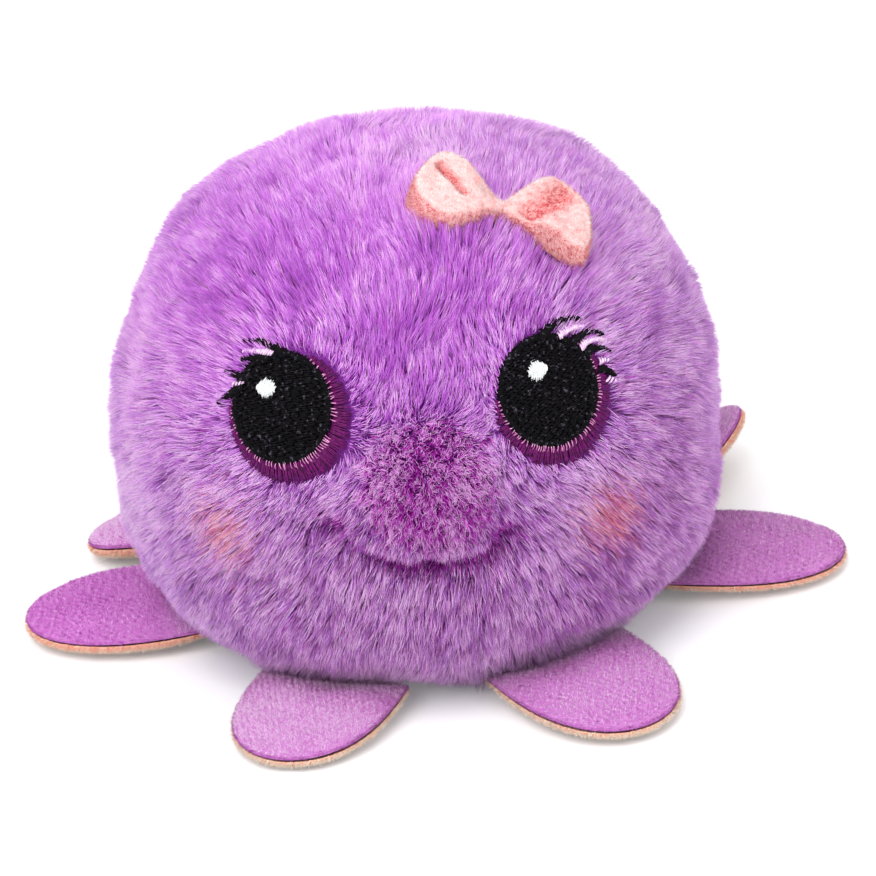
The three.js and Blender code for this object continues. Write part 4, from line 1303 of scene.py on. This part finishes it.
def stitch_arrays(starts, ends, patch, radius, low, high, sides=6, knots=5):
    """Stitches on a patch: each a plump thread from start to end in the patch's plane. Its ends lie
    at the low height over the body's outline and its middle at the high one."""
    share = np.linspace(0, 1, knots)
    plane = starts[:, None] * (1 - share)[:, None] + ends[:, None] * share[:, None]
    height = np.broadcast_to(low + (high - low) * np.sin(np.pi * share) ** 0.6, plane.shape[:2])
    centre = patch.at(plane[..., 0], plane[..., 1], height)
    heading = unit(np.gradient(centre, axis=1))
    over = unit(tangential(np.broadcast_to(patch.normal, heading.shape), heading))
    side = np.cross(heading, over)
    plump = radius * np.array([0.55, *[1.0] * (knots - 2), 0.55])
    angle = np.arange(sides) * 2 * np.pi / sides
    ring = side[:, :, None] * np.cos(angle)[:, None] + over[:, :, None] * np.sin(angle)[:, None]
    points = centre[:, :, None] + ring * plump[None, :, None, None]
    count = len(starts)
    tips = centre[:, [0, -1]] + heading[:, [0, -1]] * np.array([-1, 1])[None, :, None] * radius * 0.5
    flat = np.concatenate([points.reshape(count, -1, 3), tips], 1)
    first, last, final = knots * sides, knots * sides + 1, (knots - 1) * sides
    cells = tube_cells(knots, sides)
    for corner in range(sides):
        ahead = (corner + 1) % sides
        cells += [(first, ahead, corner), (last, final + corner, final + ahead)]
    cells = np.array(cells)[:, ::-1]
    triangles = (np.arange(count)[:, None, None] * (knots * sides + 2) + cells).reshape(-1, 3)
    return flat.reshape(-1, 3), triangles


def backing_disc(name, patch, centre, radius, height, look, slot, rings=10, count=72):
    """The stabiliser under the threads, a thin dome over the skin."""
    ring = np.linspace(0.05, 1, rings)
    angle = np.linspace(0, 2 * np.pi, count + 1)[:-1]
    right = centre[0] + radius * ring[:, None] * np.cos(angle)
    rise = centre[1] + radius * ring[:, None] * np.sin(angle)
    drop = np.where(ring > 0.97, -BACKING_TUCK, 0.0)[:, None] + 0 * right
    add_piece(name, closed_fan(patch.at(right, rise, height + drop), -1), look, slot)


def rim_reach(angle, rim):
    """How far the rim reaches from the pupil's middle in a direction."""
    right, rise, radius = rim
    toward = right * np.cos(angle) + rise * np.sin(angle)
    return toward + np.sqrt(radius**2 - right**2 - rise**2 + toward**2)


def pupil_stitches(draw):
    """Rows of short level stitches that fill the pupil."""
    starts, ends = [], []
    rise = -PUPIL_RADIUS + ROW_STEP / 2
    row = 0
    while rise < PUPIL_RADIUS:
        half = math.sqrt(PUPIL_RADIUS**2 - rise**2) + draw.uniform(-0.0001, 0.00025)
        place = -half
        length = STITCH_LENGTH * (0.4 + 0.6 * (row % 3) / 2)
        while place < half:
            stop = min(place + length, half)
            slope = 0.05 * (stop - place)
            starts.append((place, rise - slope / 2 + draw.normal(0, 0.00003)))
            ends.append((stop, rise + slope / 2 + draw.normal(0, 0.00003)))
            place = stop
            length = STITCH_LENGTH * draw.uniform(0.7, 1.3)
        rise += ROW_STEP
        row += 1
    return starts, ends


def edge_stitches(draw):
    """Short stitches round the pupil's edge, which leave it a little ragged."""
    angle = np.arange(0, 2 * np.pi, EDGE_STEP / PUPIL_RADIUS)
    aim = np.stack([np.cos(angle), np.sin(angle)], -1)
    near = PUPIL_RADIUS - 0.0009 + draw.normal(0, 0.0001, len(angle))
    far = PUPIL_RADIUS + draw.normal(0.0001, 0.00014, len(angle))
    return aim * near[:, None], aim * far[:, None]


def rim_stitches(draw, name, inner, outer, step, chance=1.0):
    """Stitches across the rim between two shares of its width, over its span."""
    starts, ends = [], []
    angle, last = (math.radians(degrees) for degrees in RIM_SPANS[name])
    while angle < last:
        width = rim_reach(angle, RIMS[name]) - PUPIL_RADIUS
        if width > 0.0002 and draw.random() < chance:
            near = PUPIL_RADIUS + width * inner + draw.normal(0, 0.00007)
            far = PUPIL_RADIUS + width * outer + draw.normal(0, 0.00014)
            twist = draw.normal(0, 0.02)
            starts.append(np.array([math.cos(angle), math.sin(angle)]) * near)
            ends.append(np.array([math.cos(angle + twist), math.sin(angle + twist)]) * far)
        angle += step / PUPIL_RADIUS * draw.uniform(0.85, 1.15)
    return starts, ends


def stroke_stitches(draw, strokes, width, tip_width, side, step):
    """Stitches across curved strokes of three points, given as shares of the pupil's radius."""
    starts, ends = [], []
    for stroke in strokes:
        a, b, c = (np.array([side * out, rise]) * PUPIL_RADIUS for out, rise in stroke)
        length = np.linalg.norm(b - a) + np.linalg.norm(c - b)
        for share in np.linspace(0, 1, max(3, int(length / step))):
            spot = a * (1 - share) ** 2 + 2 * b * share * (1 - share) + c * share**2
            heading = 2 * (b - a) * (1 - share) + 2 * (c - b) * share
            heading /= np.linalg.norm(heading)
            cross = np.array([-heading[1], heading[0]]) + heading * 0.5
            half = (width + (tip_width - width) * share) / 2 * draw.uniform(0.75, 1.25)
            starts.append(spot - cross * half)
            ends.append(spot + cross * half)
    return starts, ends


def glint_stitches(draw, name):
    starts, ends = [], []
    right, rise = GLINTS[name]
    for place in np.linspace(-1, 1, GLINT_STITCHES):
        half = GLINT_HALF_HEIGHT * math.sqrt(max(1 - place**2, 0.1)) * draw.uniform(0.85, 1.1)
        at = right + GLINT_HALF_WIDTH * place
        starts.append((at - 0.0001, rise - half))
        ends.append((at + 0.0001, rise + half))
    return starts, ends


def make_eye(name, patch, looks, draw):
    """An eye's backing and its layers of thread: label, look, slot, stitches, the threads' radius,
    how far they stand over the pupil's, and the node that they stand for."""
    side = -1 if name == "left_eye" else 1
    high = -THREAD_SINK
    low = high - BACKING_DEPTH
    *rim_middle, rim_radius = RIMS[name]
    for label, middle, radius, height, look in (
        ("backing", (0, 0), PUPIL_RADIUS - 0.0001, low, "black"),
        ("rim_backing", rim_middle, rim_radius - 0.0002, low - BACKING_DEPTH, "plum"),
    ):
        backing_disc(f"{name}_{label}", patch, middle, radius, height, looks[look], f"{look}_thread")
    layers = [
        ("pupil", "black", "black", pupil_stitches(draw), PUPIL_THREAD, 0, "_pupil_and_lashes"),
        ("edge", "black", "black", edge_stitches(draw), THREAD, 0.0001, None),
        ("rim", "plum", "plum", rim_stitches(draw, name, 0.0, 1.0, RIM_STEP), THREAD * 0.6, 0, "_rim"),
        # Pale pink stitches at the rim's inner edge: partly pink thread, partly a painted sheen.
        ("rim_inner", "pink_sheen", "plum", rim_stitches(draw, name, -0.1, 0.34, RIM_INNER_STEP, 0.7),
         THREAD * 0.42, 0.00022, None),
        ("lash", "black", "black",
         stroke_stitches(draw, LASHES[name], LASH_WIDTH, LASH_TIP_WIDTH, side, STROKE_STEP),
         THREAD, 0.0004, None),
        ("lid", "lilac", "white",
         stroke_stitches(draw, LIDS[name], LID_WIDTH, LASH_TIP_WIDTH, side, LID_STEP),
         THREAD * 0.95, 0.0003, None),
        ("glint", "white", "white", glint_stitches(draw, name), THREAD, 0.00045, "_glint"),
    ]
    for label, look, slot, stitches, radius, raised, node in layers:
        starts, ends = (np.array(points) for points in stitches)
        arrays = stitch_arrays(starts, ends, patch, radius, low, high + raised)
        nodes = [name + node] if node else []
        add_piece(f"{name}_{label}_threads", arrays, looks[look], f"{slot}_thread", nodes=nodes)


def make_face():
    # Black thread, with rare grey specks that are a painted sheen.
    black_stops_with_sheen = [(0.3, 3, 2, 5), (0.6, 8, 6, 10), (0.76, 88, 82, 96)]
    looks = {
        "black": thread_material("black_thread", black_stops_with_sheen, 0.6, 0.08),
        "plum": thread_material("plum_thread", two_tone((56, 2, 52), (118, 8, 104)), 0.55, 0.2),
        # Pale pink thread at the rim's inner edge: partly its own colour, partly a painted sheen.
        "pink_sheen": thread_material("rim_inner_thread", two_tone((164, 40, 140), (244, 178, 216)), 0.45, 0.4),
        "lilac": thread_material("lid_thread", two_tone((220, 170, 222), (250, 228, 248)), 0.5, 0.4),
        "white": thread_material("white_thread", two_tone((206, 212, 212), (242, 244, 244))),
    }
    draw = np.random.default_rng(EYE_SEED)
    for name, patch in EYES.items():
        make_eye(name, patch, looks, draw)
    look = thread_material("smile_thread_look", two_tone((74, 10, 80), (120, 30, 124)), 0.7, 0.2)
    line = SMILE - body_normal(SMILE) * SMILE_THREAD_DEPTH
    add_thread("smile_stitch", line, SMILE_THREAD_RADIUS, look, "smile_thread", ["smile_thread"])


def smooth_loop(points, count):
    """A smooth closed line of points through some given ones."""
    given = np.array(points)
    knots = np.linspace(0, len(given), count, endpoint=False)
    at = knots.astype(int)
    t = (knots - at)[:, None]
    before, here, ahead, beyond = (given[(at + k) % len(given)] for k in (-1, 0, 1, 2))
    pull, lead = (ahead - before) / 2, (beyond - here) / 2
    return (
        here * (2 * t**3 - 3 * t**2 + 1) + pull * (t**3 - 2 * t**2 + t)
        + ahead * (3 * t**2 - 2 * t**3) + lead * (t**3 - t**2)
    )


def fold_share(name, a, b):
    """1 at the bottom of the lobe's fold, 0 away from it."""
    start, end, width, _ = FOLDS[name]
    start, run = np.array(start), np.subtract(end, start)
    share = np.clip(((a - start[0]) * run[0] + (b - start[1]) * run[1]) / (run @ run), 0, 1)
    return bell(np.hypot(a - start[0] - run[0] * share, b - start[1] - run[1] * share), width)


def bow_lobe(patch, name, rings=40, steps=110):
    """One lobe as two grids of rings, its upper face with the wall, and its under face."""
    outline = smooth_loop(LOBES[name], steps)
    middle = np.array(LOBE_MIDDLES[name])
    ring = 1 - (1 - np.linspace(0.02, 1, rings)) ** 2
    plane = middle + ring[:, None, None] * (outline - middle)
    a, b = plane[..., 0], plane[..., 1]
    opened = smooth(0.0, BOW_OPEN, np.abs(a))
    thick = BOW_NECK_THICK + (BOW_THICK - BOW_NECK_THICK + BOW_LEAN * (b + BOW_FRONT)) * opened
    dish = BOW_DISH * bell(np.hypot(a - middle[0], b - middle[1]), 0.0045)
    fold = FOLDS[name][3] * fold_share(name, a, b)
    pleats = BOW_PLEAT * np.cos(b / 0.00045) * np.exp(-np.abs(a) / 0.003)
    crumple = BOW_CRUMPLE * crumple_waves(np.stack([a, b, 0 * a], -1))
    wall = (np.maximum(1 - ring**20, 0) ** (1 / 2.4))[:, None]
    top = BOW_SEAT + (thick - dish - fold + pleats + crumple) * wall
    under = BOW_SEAT - BOW_BELLY * (1 - ring[:, None] ** 4) + 0 * a
    return patch.at(a, b, top), patch.at(a, b, under), ring


def bow_tints(name, patch, paths, normal, edge, draw):
    """Places along the bow's colour ramp, cream on top. Painted shade turns the fold, the pinched neck and
    the walls coral, and a painted highlight runs along the top's edge.
    """
    right, rise, _ = patch.local(paths[:, 0])
    # Painted shade: the walls that face away from the light above turn coral.
    wall = smooth(0.75, 0.2, normal @ patch.normal)
    # Painted shade: the fold turns coral.
    tone = 0.8 - 0.85 * fold_share(name, right, rise) - 0.5 * wall
    # A painted highlight along the top's edge, and painted shade at the pinched neck.
    tone += 0.14 * smooth(0.8, 0.93, edge) * (1 - wall) - 0.1 * np.exp(-np.abs(right) / 0.002)
    tone += 0.12 * bow_grain_waves(paths[:, 0]) + draw.normal(0, 0.18, len(rise))
    return np.clip(tone, 0.01, 0.99)


def make_bow_lobe(name, patch, cloth_look, pile_look, draw):
    top, under, ring = bow_lobe(patch, name)
    top_points, top_cells = closed_fan(top, 1)
    under_points, under_cells = closed_fan(under, -1)
    arrays = (np.concatenate([top_points, under_points]),
              np.concatenate([top_cells, under_cells + len(top_points)]))
    add_piece(f"bow_{name}_cloth", arrays, cloth_look, "bow", nodes=[f"bow_{name}_lobe"], fill=0.6)
    lean = patch.right * (-0.4 if name == "left" else 0.4)
    paths, widths, across, normal, (edge,) = pile_on(
        top, grid_normals(top, 1), (ring[:, None],),
        BOW_PILE_COUNT, BOW_PILE_LENGTH, BOW_PILE_WIDTH, lean, draw,
    )
    tints = bow_tints(name, patch, paths, normal, edge, draw)
    arrays = strand_arrays(paths, widths, across, tints, normal, BOW_SOFTNESS)
    add_piece(f"bow_{name}_nap", arrays, pile_look, "bow")


def make_bow():
    """The bow's two lobes, and the thread round its neck, sunk among its pleats."""
    cloth_look = cloth_material("bow_cloth", (250, 168, 166), (255, 222, 218))
    pile_look = strand_material("bow_nap", BOW_TIPS, BOW_SHADED_ROOTS, 0.0, 0.7)
    draw = np.random.default_rng(BOW_SEED)
    for name in LOBES:
        make_bow_lobe(name, BOW, cloth_look, pile_look, draw)
    angle = np.linspace(0, 2 * np.pi, 40, endpoint=False)
    height = BOW_SEAT + TIE_HALF_HEIGHT + TIE_HALF_HEIGHT * np.sin(angle)
    loop = BOW.at(0 * angle, TIE_HALF_WIDTH * np.cos(angle), height)
    add_thread("bow_neck_thread", loop, TIE_RADIUS, cloth_look, "bow", ["bow_tie_thread"], cyclic=True)


def make_camera():
    """The photograph's view."""
    aim = Vector(AXIS) + Vector(CAMERA_AIM)
    elevation, roll = math.radians(CAMERA_ELEVATION), math.radians(CAMERA_ROLL)
    back = Vector((0, -math.cos(elevation), math.sin(elevation)))
    level_right = Vector((1, 0, 0))
    level_up = back.cross(level_right)
    right = level_right * math.cos(roll) - level_up * math.sin(roll)
    up = level_right * math.sin(roll) + level_up * math.cos(roll)
    data = bpy.data.cameras.new("camera")
    data.sensor_width = 36
    data.lens = CAMERA_LENS
    data.clip_start = 0.05
    data.clip_end = 20
    camera = new_object("camera", data, None)
    axes = Matrix((right, up, back)).transposed().to_4x4()
    camera.matrix_world = Matrix.Translation(aim + back * CAMERA_DISTANCE) @ axes
    bpy.context.scene.camera = camera


def make_lamp(name, azimuth, elevation, distance, size, power):
    """A square soft lamp aimed at the toy, from an azimuth and a height in degrees."""
    data = bpy.data.lights.new(name, "AREA")
    data.shape = "SQUARE"
    data.size = size
    data.energy = power
    lamp = new_object(name, data, None)
    a, e = math.radians(azimuth), math.radians(elevation)
    back = Vector((math.sin(a) * math.cos(e), -math.cos(a) * math.cos(e), math.sin(e)))
    lamp.location = Vector(LAMP_AIM) + back * distance
    lamp.rotation_euler = back.to_track_quat("Z", "Y").to_euler()


def make_surround():
    """The world: dim for the toy, white for the camera and for reflections."""
    world = bpy.data.worlds.new("surround")
    bpy.context.scene.world = world
    world.use_nodes = True
    tree = world.node_tree
    tree.nodes.clear()
    path = add_node(tree, "LightPath").outputs
    seen = add_node(tree, "Math", {0: path["Is Camera Ray"], 1: path["Is Glossy Ray"]}, operation="MAXIMUM")
    dim = add_node(tree, "Background", {"Color": WHITE, "Strength": SURROUND_LIGHT})
    white = add_node(tree, "Background", {"Color": WHITE, "Strength": 1.0})
    mix = add_node(tree, "MixShader", {0: seen.outputs[0], 1: dim.outputs[0], 2: white.outputs[0]})
    add_node(tree, "OutputWorld", {0: mix.outputs[0]})


def make_floor():
    """A pale floor that keeps the toy's shadow. The camera alone sees it a little brighter, and
    white far from the toy."""
    made, tree, shader = material("studio_floor", 1.0, 0.0, 0.0)
    shader.inputs["Base Color"].default_value = linear(*FLOOR_COLOUR)
    place = add_node(tree, "TexCoord").outputs["Object"]
    away = add_node(tree, "VectorMath", {0: place}, operation="LENGTH").outputs["Value"]
    sockets = ("Value", "From Min", "From Max", "To Min", "To Max")
    fade = add_node(tree, "MapRange", zip(sockets, (away, *FLOOR_FADE, FLOOR_GLOW, 1.0)))
    camera_ray = add_node(tree, "LightPath").outputs["Is Camera Ray"]
    glow = add_node(tree, "Math", {0: fade.outputs["Result"], 1: camera_ray}, operation="MULTIPLY")
    shader.inputs["Emission Color"].default_value = WHITE
    tree.links.new(glow.outputs[0], shader.inputs["Emission Strength"])
    mesh = bpy.data.meshes.new("studio_floor")
    corners = [(x * FLOOR_REACH, y * FLOOR_REACH, 0) for x, y in ((-1, -1), (1, -1), (1, 1), (-1, 1))]
    mesh.from_pydata(corners, [], [(0, 1, 2, 3)])
    new_object("studio_floor", mesh, made)


def make_studio():
    """A pale floor with the toy's shadow, a white surround for the camera and soft lamps."""
    bpy.context.scene.view_settings.view_transform = "Standard"
    make_surround()
    make_floor()
    for name, values in LAMPS.items():
        make_lamp(name, *values)


make_camera()
make_studio()
make_body()
make_legs()
make_face()
make_bow()
